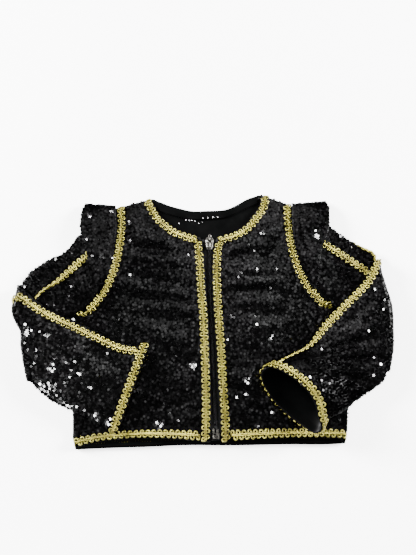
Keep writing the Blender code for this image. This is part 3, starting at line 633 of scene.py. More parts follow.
BACK_PULLS = rows_of(
    Pull,
    (160, 204, 0.0, -1.9, 12), (178, 210, 0.0, -2.0, 14), (205, 212, 0.0, -1.8, 16),
    (250, 199, 0.0, -1.6, 10), (120, 449, 0.0, -0.8, 34), (185, 446, 0.0, -1.6, 34),
    (325, 443, 0.0, 1.2, 26),
)


def pulled(points, pulls, height=0.006):
    """Points in millimetres, moved level with the table by every pull."""
    moved = np.array(points, float)
    for pull in pulls:
        centre = table_mm(pull.px, pull.py, height)
        aim = table_mm(pull.px + pull.right, pull.py + pull.down, height)
        off = np.linalg.norm(points[..., :2] - centre, axis=-1) / (pull.reach * PULL_PIXEL)
        moved[..., :2] += (aim - centre) * np.exp(-off * off)[..., None]
    return moved


print("pulls:", sum(len(pulls) for pulls in (SLEEVE_PULLS, CUFF_PULLS, WING_PULLS, BACK_PULLS)))

# %% [markdown]
# A front could be a flat sheet with a displacement map. A real grid is better here, since
# the braid and the sequins are laid on its points and have to follow every crease.

# %% The fronts' grids
INNER_COLUMNS = 9
FINE = 4


def front_grid(side):
    """The middle surface of a front, in millimetres, with its edge columns a braid wide."""
    k = SIDES.index(side)
    dense = smooth_rows([
        [*edge_point(row.outer[k], ARMHOLES[side]), *row.inner[k], row.outer_z, row.inner_z, row.bow[k]]
        for row in FRONT
    ], 2)
    share = BRAID_WIDTH / np.linalg.norm(dense[-1][:2] - dense[-3][:2])
    dense[-2] = dense[-1] + (dense[-3] - dense[-1]) * share
    grid = []
    for index, (ox, oy, ix, iy, outer_z, inner_z, bow) in enumerate(dense):
        width = math.hypot(ix - ox, iy - oy)
        outer_edge = (BRAID_WIDTH if index <= ARMHOLE_END else NARROW_EDGE) / width
        inner_edge = 1.0 - BRAID_WIDTH / width
        t = np.array([0.0, *np.linspace(outer_edge, inner_edge, INNER_COLUMNS), 1.0])
        x = ox + (ix - ox) * t
        y = oy + (iy - oy) * t + bow * bow_shape(1.0 - t)
        z = outer_z + (inner_z - outer_z) * t + FRONT_PUFF * np.sin(np.pi * t)
        grid.append(np.stack([x, y, z], axis=-1))
    grid = np.array(grid)
    grid[..., 2] += crease_height(grid, FRONT_CREASES)
    grid = finer(grid, FINE, FINE)
    grid[..., 2] += crease_height(grid, FRONT_FOLDS[side])
    return grid


fronts = {side: front_grid(side) for side in SIDES}
print("points of a front:", fronts["left"].shape[:2])

# %% [markdown]
# A grid becomes cloth when a second grid is laid on its other side and the two are joined
# round the edge. The outer face is the sequined net and the inner one is the lining. The
# thin rim is rounded by a third line of points that stands out a little.

# %% Cloth from grids
RIM_BULGE = 0.3
SEQUINED = (sequin_ground, lining)


def mesh_object(name, points, faces, looks, slots=None, smooth=True):
    """An object at the origin from points in metres."""
    mesh = bpy.data.meshes.new(name)
    mesh.from_pydata(points, [], faces)
    for look in looks:
        mesh.materials.append(look)
    if slots is not None:
        mesh.polygons.foreach_set("material_index", np.asarray(slots, np.int32))
    if smooth:
        mesh.polygons.foreach_set("use_smooth", np.ones(len(mesh.polygons), bool))
    mesh.update()
    made = bpy.data.objects.new(name, mesh)
    bpy.context.scene.collection.objects.link(made)
    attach(made, "jacket")
    return made


def only(*chosen):
    """Selects these objects alone and makes the first one active."""
    bpy.ops.object.select_all(action="DESELECT")
    for made in chosen:
        made.select_set(True)
    bpy.context.view_layer.objects.active = chosen[0]


def grid_faces(rows, columns, first, closed=False, flip=False):
    """Quads of a grid whose points start at index first."""
    across = columns if closed else columns - 1
    v, u = np.meshgrid(np.arange(rows - 1), np.arange(across), indexing="ij")
    near, far = v * columns, (v + 1) * columns
    right = (u + 1) % columns
    quads = np.stack([near + u, near + right, far + right, far + u], -1).reshape(-1, 4) + first
    return quads[:, ::-1] if flip else quads


def rim_of(rows, columns):
    """The indices round the edge of an open grid, in order."""
    index = np.arange(rows * columns).reshape(rows, columns)
    return np.concatenate([index[0], index[1:, -1], index[-1, -2::-1], index[-2:0:-1, 0]])


def cloth(name, node, outer, inner, looks=SEQUINED, closed=False):
    """A closed shell between two grids of points in millimetres."""
    rows, columns = outer.shape[:2]
    count = rows * columns
    points = [outer.reshape(-1, 3), inner.reshape(-1, 3)]
    faces = [grid_faces(rows, columns, 0, closed), grid_faces(rows, columns, count, closed, flip=True)]
    if closed:
        loops = [np.arange(columns)[::-1], np.arange(columns) + count - columns]
    else:
        loops = [rim_of(rows, columns)[::-1]]
    for loop in loops:
        middle = (points[0][loop] + points[1][loop]) / 2
        spread = points[0][loop] - points[1][loop]
        run = np.roll(middle, -1, axis=0) - np.roll(middle, 1, axis=0)
        out = unit(np.cross(run, spread)) * np.linalg.norm(spread, axis=1, keepdims=True) * RIM_BULGE
        line = sum(len(part) for part in points) + np.arange(len(loop))
        points.append(middle + out)
        for a, b in ((loop, line), (line, loop + count)):
            faces.append(np.stack([a, np.roll(a, -1), np.roll(b, -1), b], -1))
    slots = np.zeros(sum(len(part) for part in faces))
    slots[len(faces[0]):2 * len(faces[0])] = 1
    made = mesh_object(name, metres(np.concatenate(points)), np.concatenate(faces).tolist(), looks, slots)
    only(made)
    bpy.ops.object.mode_set(mode="EDIT")
    bpy.ops.mesh.select_all(action="SELECT")
    bpy.ops.mesh.normals_make_consistent(inside=False)
    bpy.ops.object.mode_set(mode="OBJECT")
    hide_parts(node)
    return made


def panel(name, node, grid, looks=SEQUINED, thick=CLOTH):
    """Cloth laid on both sides of a middle surface."""
    return cloth(name, node, lifted(grid, thick / 2), lifted(grid, -thick / 2), looks)


cloths = {f"front_{side}": panel(f"cloth_front_{side}", f"front_{side}", fronts[side]) for side in SIDES}
print("front:", len(cloths["front_left"].data.polygons), "faces")

# %% [markdown]
# The back lies flat on the table with the fronts over it. Only its lining shows, inside
# the neck and below the fronts' hem, and its sequined side is underneath. Its hem turns
# up a little, which is why the photograph shows a dark lens under the front hem.

# %% The back and the facing of its neck
NECK_FADE_ROW, NECK_FADE = 7, 1.5
BACK_FINE = 3
ALLOWANCE, ALLOWANCE_LIFT, ALLOWANCE_END = 4.5, 1.9, 0.05
FACING_WIDTH, FACING_THICK, FACING_GAP = 11.0, 0.8, 0.4
FACING_ROWS = ((0.0, 0.0), (0.25, 0.5), (0.5, 0.6), (0.75, 0.5), (0.93, 0.35), (1.0, 0.0))


def back_grid():
    """The middle surface of the back, whose top row dips along the neck."""
    rows = np.array([
        [*edge_point(row.left, ARMHOLES["left"]), *edge_point(row.right, ARMHOLES["right"]), row.lift]
        for row in BACK
    ])
    neck = smooth_rows(BACK_NECK, 2)
    left_tip, right_tip = rows[0][:2], rows[0][2:4]
    top = np.array([left_tip, (left_tip + neck[0]) / 2, *neck, (right_tip + neck[-1]) / 2, right_tip])
    t = (top[:, 0] - left_tip[0]) / (right_tip[0] - left_tip[0])
    straight = left_tip[1] + (right_tip[1] - left_tip[1]) * t
    faded_y = rows[NECK_FADE_ROW][1]
    grid = []
    for left_x, left_y, right_x, right_y, lift in rows:
        fade = max(0.0, (left_y - faded_y) / (left_tip[1] - faded_y)) ** NECK_FADE
        y = left_y + (right_y - left_y) * t + (top[:, 1] - straight) * fade
        grid.append(np.stack([left_x + (right_x - left_x) * t, y, np.full(len(t), lift + CLOTH / 2)], -1))
    return finer(np.array(grid), BACK_FINE, BACK_FINE)


def under_sleeves(grid):
    """The back's grid with a seam allowance that runs on under both sleeves."""
    on_armhole = [isinstance(row.left, float) for row in BACK]
    share = np.interp(np.arange(len(grid)) / BACK_FINE, np.arange(len(BACK)), on_armhole) + ALLOWANCE_END
    allowance = np.column_stack([ALLOWANCE * share, 0 * share, ALLOWANCE_LIFT * share])
    left_strip, right_strip = grid[:, 0] + allowance * [-1, 1, 1], grid[:, -1] + allowance
    return np.concatenate([left_strip[:, None], grid, right_strip[:, None]], axis=1)


def facing_grid():
    """A strip that follows the back's neck, one row for each share of its width."""
    line = smooth_rows(BACK_NECK, 6)[1:-1]
    rows = []
    for share, height in FACING_ROWS:
        x = line[:, 0] * (1.0 - 0.02 * share)
        y = line[:, 1] - FACING_GAP - (FACING_WIDTH - FACING_GAP) * share
        rows.append(np.stack([x, y, np.full(len(x), CLOTH + FACING_THICK + height)], -1))
    return np.array(rows)


back = pulled(back_grid(), BACK_PULLS)
back[..., 2] = np.maximum(back[..., 2], CLOTH / 2)
cloth_back = panel("cloth_back", "back", under_sleeves(back), (lining, sequin_ground))
facing = pulled(facing_grid(), BACK_PULLS)
cloth_facing = panel(
    "cloth_neck_facing", "back_neck_facing", facing, (lining, lining), FACING_THICK
)
print("back:", len(cloth_back.data.polygons), "faces")

# %% [markdown]
# A sleeve is a tube that has been pressed flat and folded at the elbow. Each row of its
# table is a flattened ring, and the rings turn over one after another round the fold.
# The right cuff stands open, so its last rings tip up and open out.

# %% The sleeves' rings
def sleeve_rings(side):
    """Every ring of a folded sleeve, with the radius of its turn."""
    elbow = ELBOW[side]

    def numbers(ring, radius=0.0):
        return [*ring.top, *ring.under, ring.height, ring.half, ring.turn, ring.bow, radius]

    low = elbow._replace(height=elbow.height - TURN_RADIUS)
    high = elbow._replace(height=elbow.height + TURN_RADIUS, turn=180)
    rings = list(smooth_rows([numbers(ring) for ring in (*UPPER_ARM[side], low)], 2))
    for k in range(1, TURN_STEPS):
        rings.append(numbers(elbow._replace(turn=180.0 * k / TURN_STEPS), TURN_RADIUS))
    rings += list(smooth_rows([numbers(ring) for ring in (high, *FOREARM[side])], 2))
    share = BRAID_WIDTH / np.linalg.norm(rings[-1][:2] - rings[-2][:2])
    rings.insert(-1, rings[-1] + (rings[-2] - rings[-1]) * share)
    return np.array(rings)


def ring_points(ring, angles, grow):
    """Points of one ring: 0 is the underarm edge, 180 degrees the top fold edge."""
    top, under = np.array([*ring[0:2], 0.0]), np.array([*ring[2:4], 0.0])
    height, half, turn, bow, radius = ring[4:9]
    long_side = (under - top) / 2
    to_body = unit(np.array([-long_side[1], long_side[0], 0.0])) * (-1.0 if top[0] > 0 else 1.0)
    turned = math.radians(turn)
    short = np.array([0.0, 0.0, math.cos(turned)]) + to_body * math.sin(turned)
    centre = (top + under) / 2 + np.array([0.0, 0.0, height]) - short * radius
    reach = np.linalg.norm(long_side)
    cos, sin = np.cos(angles)[:, None], np.sin(angles)[:, None]
    outward = unit(unit(long_side) * half * cos + short * reach * sin)
    inset = min(grow, 0.0)
    point = centre + long_side * (1.0 + inset / reach) * cos + short * (half + inset) * sin
    return point + outward * max(grow, 0.0) + to_body * bow * bow_shape((1.0 + cos) / 2)


rings = {side: sleeve_rings(side) for side in SIDES}
print("rings of a sleeve:", len(rings["left"]), len(rings["right"]))

# %% [markdown]
# The sleeves crumple most where they fold. The upper arm puckers out of the armhole, and
# the right forearm is ruffled in a fan from the inside of its elbow.

# %% The sleeves' cloth
ROUND = np.linspace(0.0, 2.0 * np.pi, 96, endpoint=False)
FOREARM_HEIGHT = 0.018
UPPER_FOLDS, FOREARM_FOLDS = {}, {}
UPPER_FOLDS["left"] = picture_creases([
    (96, 214, 108, 262, 5, 1.2), (104, 216, 114, 250, 4, -1.2), (88, 268, 104, 286, 5, -1.2),
    (66, 272, 92, 300, 5, 1.2), (56, 278, 80, 306, 5, -1.0), (40, 276, 60, 300, 6, 1.0),
    (74, 250, 100, 268, 5, 1.0),
])
FOREARM_FOLDS["left"] = picture_creases([
    (14, 316, 60, 336, 6, 1.6), (20, 330, 74, 346, 6, -1.5), (24, 346, 90, 352, 7, 1.2),
    (30, 366, 84, 366, 7, -1.2), (36, 384, 110, 372, 7, 1.2), (60, 402, 116, 388, 6, -1.2),
    (84, 334, 128, 352, 6, 1.0), (80, 346, 124, 372, 7, -0.9), (80, 414, 112, 404, 6, 0.9),
], height=FOREARM_HEIGHT)
UPPER_FOLDS["right"] = picture_creases([
    (298, 214, 300, 258, 5, 1.2), (308, 214, 306, 262, 4.5, -1.2), (318, 262, 332, 290, 5, -1.2),
    (330, 258, 346, 284, 5, 1.1), (306, 268, 330, 300, 5, 1.0), (346, 264, 356, 276, 4, -0.9),
])
FOREARM_FOLDS["right"] = picture_creases([
    (308, 352, 386, 322, 4.5, 1.9), (310, 356, 390, 334, 4.5, -1.9), (308, 360, 392, 346, 4.5, 1.8),
    (312, 364, 392, 358, 4.5, -1.9), (308, 366, 384, 372, 5, 1.7), (316, 372, 376, 384, 5, -1.6),
    (322, 380, 366, 392, 5, 1.4), (332, 336, 376, 300, 6, -1.3), (352, 322, 388, 300, 6, 1.2),
    (372, 280, 386, 300, 5, -1.2), (296, 362, 330, 392, 5, -1.0), (336, 400, 344, 412, 5, 1.0),
], height=FOREARM_HEIGHT)


def shaped_sleeve(side):
    """The sleeve's outer and inner surfaces with its creases, in millimetres."""
    outer, inner = (
        smooth_rows([ring_points(ring, ROUND, grow) for ring in rings[side]], 2)
        for grow in (0.0, -SLEEVE_WALL)
    )
    normals = normals_of(outer, closed=True)
    row = np.arange(len(outer))[:, None] / 2.0
    turn_starts = 2.0 * len(UPPER_ARM[side])
    on_upper = np.clip((turn_starts - row) / 2.0, 0, 1)
    past_turn = np.clip((row - turn_starts - TURN_STEPS) / 2.0, 0, 1)
    on_forearm = past_turn * np.clip((len(rings[side]) - 1 - row) / 1.5, 0, 1)
    push = on_upper * crease_height(outer, UPPER_FOLDS[side]) * np.clip(row / 2.0, 0, 1)
    push += on_forearm * crease_height(outer, FOREARM_FOLDS[side])
    shift = normals * (push * np.clip(normals[..., 2], 0, 1))[..., None]
    moved = (pulled(surface + shift, SLEEVE_PULLS) for surface in (outer, inner))
    return [pulled(surface, CUFF_PULLS, CUFF_HEIGHT) for surface in moved]


sleeves = {}
for side in SIDES:
    sleeves[side], inside = shaped_sleeve(side)
    cloths[f"sleeve_{side}"] = cloth(
        f"cloth_sleeve_{side}", f"sleeve_{side}", sleeves[side], inside, closed=True
    )
print("sleeve:", len(cloths["sleeve_left"].data.polygons), "faces")

# %% [markdown]
# The wings are leaves of sequined cloth set in the armholes over the shoulders. Each is
# folded along its top, so a second leaf lies under the first one there.

# %% The wings
WING_COLUMNS = 7
WING_FINE = 5
UNDER_ROWS = 8
WING_PUFF = 0.8
WING_HEIGHT = 0.011
WING_FOLDS = picture_creases([
    (96, 214, 90, 240, 5, 0.8), (104, 222, 100, 256, 4, -0.8), (112, 214, 106, 240, 4, 0.7),
    (300, 212, 306, 246, 5, 0.8), (312, 210, 314, 250, 4, -0.9), (320, 214, 319, 244, 4, 0.8),
], height=WING_HEIGHT)


def wing_grid(side):
    """A wing's middle surface: its under leaf, its fold and then the leaf that shows."""
    k = SIDES.index(side)
    t = np.linspace(0.0, 1.0, WING_COLUMNS)
    rows = []
    for row in WING:
        root = armhole_point(ARMHOLES[side], row.share) + np.array([(2 * k - 1) * SEAM, 0.0])
        flat = root + (np.array(row.free[k]) - root) * t[:, None]
        root_z = WING_ROOT_Z - WING_TOP_DROP * max(0.0, 1.0 - row.share / WING_DROP_SHARE)
        z = root_z + (row.free_z - root_z) * t + np.sin(np.pi * t) * WING_PUFF
        rows.append(np.column_stack([flat, z]))
    top = rows[0]
    fold = top + np.column_stack([0 * t, 0 * t + WING_FOLD, (CLOTH / 2 - top[:, 2]) / 2])
    reach = WING_UNDER[0] + (WING_UNDER[1] - WING_UNDER[0]) * t
    under = np.column_stack([top[:, 0], top[:, 1] - reach, 0 * t + CLOTH / 2])
    grid = finer(np.array([under, fold, *rows]), WING_FINE, WING_FINE)
    grid[UNDER_ROWS:, :, 2] += crease_height(grid[UNDER_ROWS:], WING_FOLDS)
    return pulled(grid, WING_PULLS)


wings = {side: wing_grid(side) for side in SIDES}
for side in SIDES:
    cloths[f"wing_{side}"] = panel(
        f"cloth_wing_{side}", f"wing_{side}", wings[side], (sequin_ground, sequin_ground)
    )
print("wing:", len(cloths["wing_left"].data.polygons), "faces")

# %% [markdown]
# Sequins. Real sequined cloth has discs about 3 mm across, sewn so close that they
# overlap. Points are thrown on the cloth at random and kept only if no other point is
# too near, which spreads them as evenly as a machine sews them, without rows. Each disc
# leans its own way. Where the photograph shows a cluster of bright discs, the cloth
# bulges towards the lamp, so the discs there lean that way on average. A few wide
# patches reflect more as painted sheen, such as the left forearm, and small ones less,
# as painted shade. Discs on steep cloth at an edge reflect almost nothing: painted shade.

# %% Scattering
SEQUIN_SPACING = 2.25
TRIES = 6
rng = np.random.default_rng(7)


def scattered(grid, normals, spacing, closed=False):
    """Points and normals spread over a grid, none closer than spacing."""
    rows, columns = grid.shape[:2]
    quads = grid_faces(rows, columns, 0, closed)
    points, directions = grid.reshape(-1, 3), normals.reshape(-1, 3)
    a, b, c, d = (points[quads[:, k]] for k in range(4))
    area = np.linalg.norm(np.cross(c - a, d - b), axis=1) / 2
    count = int(area.sum() / spacing**2 * TRIES)
    chosen = quads[rng.choice(len(quads), count, p=area / area.sum())]
    s, t = rng.random((2, count, 1))
    weights = ((1 - s) * (1 - t), s * (1 - t), s * t, (1 - s) * t)
    spot = sum(w * points[chosen[:, k]] for k, w in enumerate(weights))
    facing = unit(sum(w * directions[chosen[:, k]] for k, w in enumerate(weights)))
    cell = np.floor(spot / spacing).astype(int)
    around = [(dx, dy, dz) for dx in (-1, 0, 1) for dy in (-1, 0, 1) for dz in (-1, 0, 1)]
    taken, kept = {}, []
    for i in range(count):
        x, y, z = cell[i]
        near = [k for dx, dy, dz in around for k in taken.get((x + dx, y + dy, z + dz), ())]
        if near and (np.square(spot[near] - spot[i]).sum(1) < spacing**2).any():
            continue
        taken.setdefault((x, y, z), []).append(i)
        kept.append(i)
    return spot[kept], facing[kept]


print("sequins are", SEQUIN_SPACING, "mm apart or more")

# %% [markdown]
# A disc is a flat polygon of ten sides. An instanced mesh would save memory, but joined
# discs can each carry their own tone and gloss as numbers on their faces.

# %% Discs
SEQUIN_RADIUS = 1.6
SEQUIN_SIDES = 10
SEQUIN_LIFT = 0.35
LEAN, LOOSE_LEAN, LOOSE_SHARE = 0.055, 0.2, 0.1
PIXEL = 1.25
PICTURE_HEIGHT = 0.008
GLINT_SHARE, GLINT_FLASH = 0.62, 0.6
GLINT_LAMP = np.array([-1.17, -0.57, 1.77])
# Patches of painted sheen (positive gain) and painted shade (negative gain) in the discs' reflection.
Sheen = namedtuple("Sheen", "px py reach gain")
PAINTED_SHEEN_AND_SHADE = rows_of(
    Sheen,
    (68, 365, 62, 1.5), (165, 390, 70, 0.7), (262, 290, 80, 0.5), (350, 350, 60, 0.9),
    (320, 225, 22, -0.4), (158, 368, 20, -0.6), (155, 400, 16, -0.5), (100, 300, 24, -0.5),
    (302, 332, 22, -0.5), (264, 208, 20, 0.6), (288, 352, 16, -0.4), (345, 274, 18, -0.5),
    (52, 275, 28, -0.4), (258, 330, 18, 0.5), (180, 255, 22, 0.3), (246, 262, 16, 0.4),
)
Glint = namedtuple("Glint", "px py reach")
GLINTS = rows_of(
    Glint,
    (29, 333, 5), (42, 346, 3.6), (53, 370, 5), (48, 388, 4), (72, 373, 3.6), (56, 402, 3),
    (72, 408, 4), (97, 417, 4.4), (27, 342, 3), (110, 424, 3), (316, 238, 5), (248, 247, 4),
    (262, 233, 4), (240, 275, 5), (258, 270, 3), (103, 256, 4), (112, 258, 3), (131, 274, 3),
    (129, 221, 3), (169, 237, 3), (193, 366, 5), (159, 423, 5), (247, 381, 5), (233, 315, 4),
    (257, 323, 3), (271, 338, 4), (235, 398, 5), (246, 396, 3), (272, 414, 4), (90, 217, 3),
    (111, 212, 3), (260, 425, 3), (192, 294, 2.5), (160, 424, 3), (346, 345, 3), (86, 240, 3),
    (105, 239, 3), (93, 258, 2.4), (100, 257, 2.4), (129, 240, 2.4), (316, 233, 3),
    (331, 239, 3), (81, 375, 3), (372, 376, 3), (365, 347, 2.6),
)


def from_pixel(spots, mark):
    """How far each spot is from the place of a mark on the photograph."""
    return np.linalg.norm(spots[:, :2] - table_mm(mark.px, mark.py, PICTURE_HEIGHT), axis=1)


def to_the_lamp(spots):
    """The direction that a disc has to face to show the glint lamp to the camera."""
    here = metres(spots)
    return unit(unit(GLINT_LAMP - here) + unit(camera_place - here))


def sequins(name, spots, facing, radius=SEQUIN_RADIUS, lift=SEQUIN_LIFT, bright=False):
    """One mesh of flat discs at these spots, in millimetres."""
    count = len(spots)
    spread = np.where(rng.random((count, 1)) < LOOSE_SHARE, LOOSE_LEAN, LEAN)
    steady = np.clip((facing[:, 2:3] - 0.9) / 0.08, 0.25, 1.0)
    lean = rng.normal(0.0, 1.0, (count, 3)) * spread * steady
    to_lamp = to_the_lamp(spots)
    shade = rng.random(count)
    glints = np.full(count, bright)
    for glint in GLINTS:
        near = np.clip(1.4 - from_pixel(spots, glint) / (glint.reach * PIXEL), 0, 1)[:, None]
        pull = near * (facing[:, 2:3] > 0.5) * (rng.random((count, 1)) < GLINT_SHARE)
        lean = lean * (1 - 0.6 * pull) + (to_lamp - facing) * pull
        glints |= pull[:, 0] > 0.3
    normal = unit(facing + lean)
    first = unit(np.cross(normal, rng.normal(size=(count, 3))))
    second = np.cross(normal, first)
    size = radius * rng.uniform(0.92, 1.06, (count, 1, 1))
    angle = np.linspace(0.0, 2.0 * np.pi, SEQUIN_SIDES, endpoint=False)[None, :, None]
    ring = np.cos(angle) * first[:, None, :] + np.sin(angle) * second[:, None, :]
    height = lift + rng.uniform(0.0, 0.45, (count, 1))
    points = (spots + facing * height)[:, None, :] + ring * size
    faces = np.arange(count * SEQUIN_SIDES).reshape(count, SEQUIN_SIDES)
    made = mesh_object(name, metres(points.reshape(-1, 3)), faces.tolist(), [sequin_film], smooth=False)
    shade[glints] = 1.0
    # Painted shade: discs on steep cloth get almost no reflection, so the turned-down edges stay dark.
    flash = (0.2 + 0.5 * shade**3) * np.clip((facing[:, 2] - 0.94) / 0.04, 0.03, 1.0)
    # Painted sheen and painted shade: each listed patch scales the discs' reflection up or down.
    for sheen in PAINTED_SHEEN_AND_SHADE:
        off = from_pixel(spots, sheen) / sheen.reach
        flash *= 1.0 + sheen.gain * np.exp(-off * off)
    flash[glints] = GLINT_FLASH
    for attribute_name, values in (("shade", shade), ("flash", flash)):
        numbers = made.data.attributes.new(attribute_name, "FLOAT", "FACE")
        numbers.data.foreach_set("value", values.astype(np.float32))
    return made


print("glints and sheens:", len(GLINTS), len(PAINTED_SHEEN_AND_SHADE))

# %% [markdown]
# The real cloth is covered all over. Discs that could never be seen, against the table or
# on end at a cut edge, are left out, because they would only stick out of the outline.

# %% Sequins on the cloth
def off_the_table(spots, facing):
    """Leaves out the discs that would lie against the table."""
    return (spots[:, 2] > 1.2) | (facing[:, 2] > 0)


def off_the_edge(_, facing):
    """Leaves out the discs that would stand on a steep edge."""
    return facing[:, 2] > 0.85


def sequins_on(name, grid, kept, closed=False):
    """Sequins over one surface of cloth, where the test keeps them."""
    spots, facing = scattered(grid, normals_of(grid, closed), SEQUIN_SPACING, closed)
    keep = kept(spots, facing)
    print(name, keep.sum(), "sequins")
    return sequins(name, spots[keep], facing[keep])


for side in SIDES:
    front = lifted(fronts[side], CLOTH / 2)
    sequins_on(f"sequins_front_{side}", front, off_the_edge)
for side in SIDES:
    sequins_on(f"sequins_sleeve_{side}", sleeves[side], off_the_table, closed=True)
for side in SIDES:
    wing = lifted(wings[side], CLOTH / 2)
    sequins_on(f"sequins_wing_{side}", wing, off_the_table)

# %% [markdown]
# Gimp braid. One thick cord swings from side to side and loops back over itself, so that
# both edges are scallops with a dark hole in each, half a step apart. Two straighter
# cords are sewn down the middle to hold the loops. The swing is a sine across the braid,
# and a second, faster sine along it makes the cord run backwards in the middle.

# %% Tubes
TABLE_GAP = 0.05


def tube_points(path, up, radius, sides):
    """Rings of points round a path."""
    run = unit(np.gradient(path, axis=0))
    side = unit(np.cross(run, up))
    over = np.cross(side, run)
    angle = np.linspace(0.0, 2.0 * np.pi, sides, endpoint=False)[None, :, None]
    return path[:, None, :] + radius * (np.cos(angle) * side[:, None] + np.sin(angle) * over[:, None])


def tubes(name, node, parts, looks):
    """One mesh of tubes. A part is its rings, whether it closes, its look's number and its UV step."""
    points, faces, slots, wraps = [], [], [], []
    start = 0
    for rings, closed, look_number, step in parts:
        count, sides = rings.shape[:2]
        around = grid_faces(count + 1 if closed else count, sides, 0, closed=True)
        quads = around % (count * sides) + start
        v, u = np.meshgrid(np.arange(count if closed else count - 1), np.arange(sides), indexing="ij")
        u, v = u.reshape(-1) / sides, v.reshape(-1) * step
        corners = ((v, u), (v, u + 1 / sides), (v + step, u + 1 / sides), (v + step, u))
        wraps.append(np.stack([np.stack(corner, -1) for corner in corners], 1).reshape(-1, 2))
        ends = []
        if not closed:
            last = start + (count - 1) * sides
            ends = [list(range(start + sides - 1, start - 1, -1)), list(range(last, last + sides))]
            wraps.append(np.zeros((2 * sides, 2)))
        faces += quads.tolist() + ends
        slots += [look_number] * (len(quads) + len(ends))
        points.append(rings.reshape(-1, 3).copy())
        points[-1][:, 2] = np.maximum(points[-1][:, 2], TABLE_GAP)
        start += count * sides
    made = mesh_object(name, metres(np.concatenate(points)), faces, looks, slots)
    uv = made.data.uv_layers.new(name="thread")
    uv.data.foreach_set("uv", np.concatenate(wraps).astype(np.float32).ravel())
    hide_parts(node)
    return made


# %% [markdown]
# Gimp could be a textured strip, but its scallops stand out at every edge of the jacket.
# So each cord is a real tube along a line that is worked out from the braid's path.

# %% Braid along a path
LOOP_STEP = 6.9
LOOP_BACK = 0.95
LOOP_CORD = 1.0
LOOP_POINTS = 22
LOOP_STRETCH = 1.6
LOOP_RISE = 0.28
MIDDLE_CORD = 0.78
MIDDLE_AWAY = 0.16
MIDDLE_STEP = 1.6
SLOPE_REACH = 0.6


def length_of(path, closed):
    """How far along a path each of its rows is, and the rows, with the first again if it closes."""
    if closed:
        path = np.concatenate([path, path[:1]])
    steps = np.linalg.norm(np.diff(path[:, :3], axis=0), axis=1)
    return np.concatenate([[0.0], np.cumsum(steps)]), path


def along(path, at, closed):
    """Values of a path's rows at distances along it."""
    far, path = length_of(path, closed)
    wanted = np.mod(at, far[-1]) if closed else np.clip(at, 0.0, far[-1])
    return np.stack([np.interp(wanted, far, path[:, k]) for k in range(path.shape[1])], -1)


def gimp(name, node, path, normals, half_width, closed=False):
    """Gimp braid along a path on the cloth, with the cloth's normals and its half width."""
    half = np.broadcast_to(np.asarray(half_width, float), (len(path),))
    rows = np.column_stack([path, normals, half])
    length = length_of(rows, closed)[0][-1]
    loops = max(2, round(length / LOOP_STEP))
    pitch = length / loops

    def place(at, across, height):
        """Points at a distance along, a share of the half width across, and a height."""
        here = along(rows, at, closed)
        ahead, behind = along(rows, at + SLOPE_REACH, closed), along(rows, at - SLOPE_REACH, closed)
        run = unit(ahead[:, :3] - behind[:, :3])
        up = unit(here[:, 3:6])
        reach = across * (here[:, 6] - LOOP_CORD)
        return here[:, :3] + unit(np.cross(up, run)) * reach[:, None] + up * height[:, None], up

    t = np.arange(loops * LOOP_POINTS + (0 if closed else 1)) / LOOP_POINTS
    swing = pitch * t - LOOP_BACK * np.sin(4 * np.pi * t)
    if not closed:
        swing = np.clip(swing, 0.4, length - 0.4)
    jitter = 1.0 + 0.05 * np.sin(t * 2.3 + len(name))
    height = LOOP_CORD + 0.05 + LOOP_RISE * (1 + np.cos(2 * np.pi * t)) / 2
    line, up = place(swing, np.sin(2 * np.pi * t) * jitter, height)
    parts = [(tube_points(line, up, LOOP_CORD, 5), closed, 0, pitch / LOOP_POINTS * LOOP_STRETCH)]
    count = max(4, int(length / MIDDLE_STEP))
    at = np.linspace(0.0, length, count, endpoint=not closed)
    if not closed:
        at = np.clip(at, 0.3, length - 0.3)
    for side in (-1.0, 1.0):
        wave = 0.05 * np.sin(2 * np.pi * at / pitch + side)
        height = LOOP_CORD * 1.95 + 0.16 * np.sin(4 * np.pi * at / pitch + side)
        line, up = place(at, side * MIDDLE_AWAY + wave, height)
        parts.append((tube_points(line, up, MIDDLE_CORD, 6), closed, 1, length / count))
    return tubes(name, node, parts, (loop_gold, cord_gold))


# %% [markdown]
# The braid's paths come from the same grids as the cloth it is sewn to: down the middle
# of an edge's two columns, a little over the cloth. The neck, front edge, armhole and hem
# of each front have their own piece, mitred at the corner as the real braid is.

# %% Braid on the fronts
ARMHOLE_BRAID_END = {"left": 20.7, "right": 20.6}
EDGE_GAP = 0.4
NODE_OF = {
    "neck": "neck_braid", "front_edge": "front_edge_braid", "armhole": "armhole_braid", "hem": "hem_braid",
    "sleeve_front": "sleeve_braid_front", "sleeve_back": "sleeve_braid_back", "cuff": "cuff_braid",
}


def strip(grid, first_row, last_row, first_column, last_column):
    """A path along rows of a grid, midway between two columns, with normals and half widths."""
    normals = normals_of(grid)
    rows = np.linspace(first_row, last_row, max(8, int(last_row - first_row) + 1))

    def line_at(values, column):
        """The values down a column, which may lie between two, at the path's rows."""
        left, share = int(column), column % 1
        right = min(left + 1, values.shape[1] - 1)
        line = values[:, left] * (1 - share) + values[:, right] * share
        return np.stack([np.interp(rows, np.arange(len(line)), line[:, k]) for k in range(3)], -1)

    a, b = (line_at(grid + normals * BRAID_BASE, column) for column in (first_column, last_column))
    facing = unit(line_at(normals, first_column) + line_at(normals, last_column))
    return (a + b) / 2, facing, np.linalg.norm(a - b, axis=1) / 2


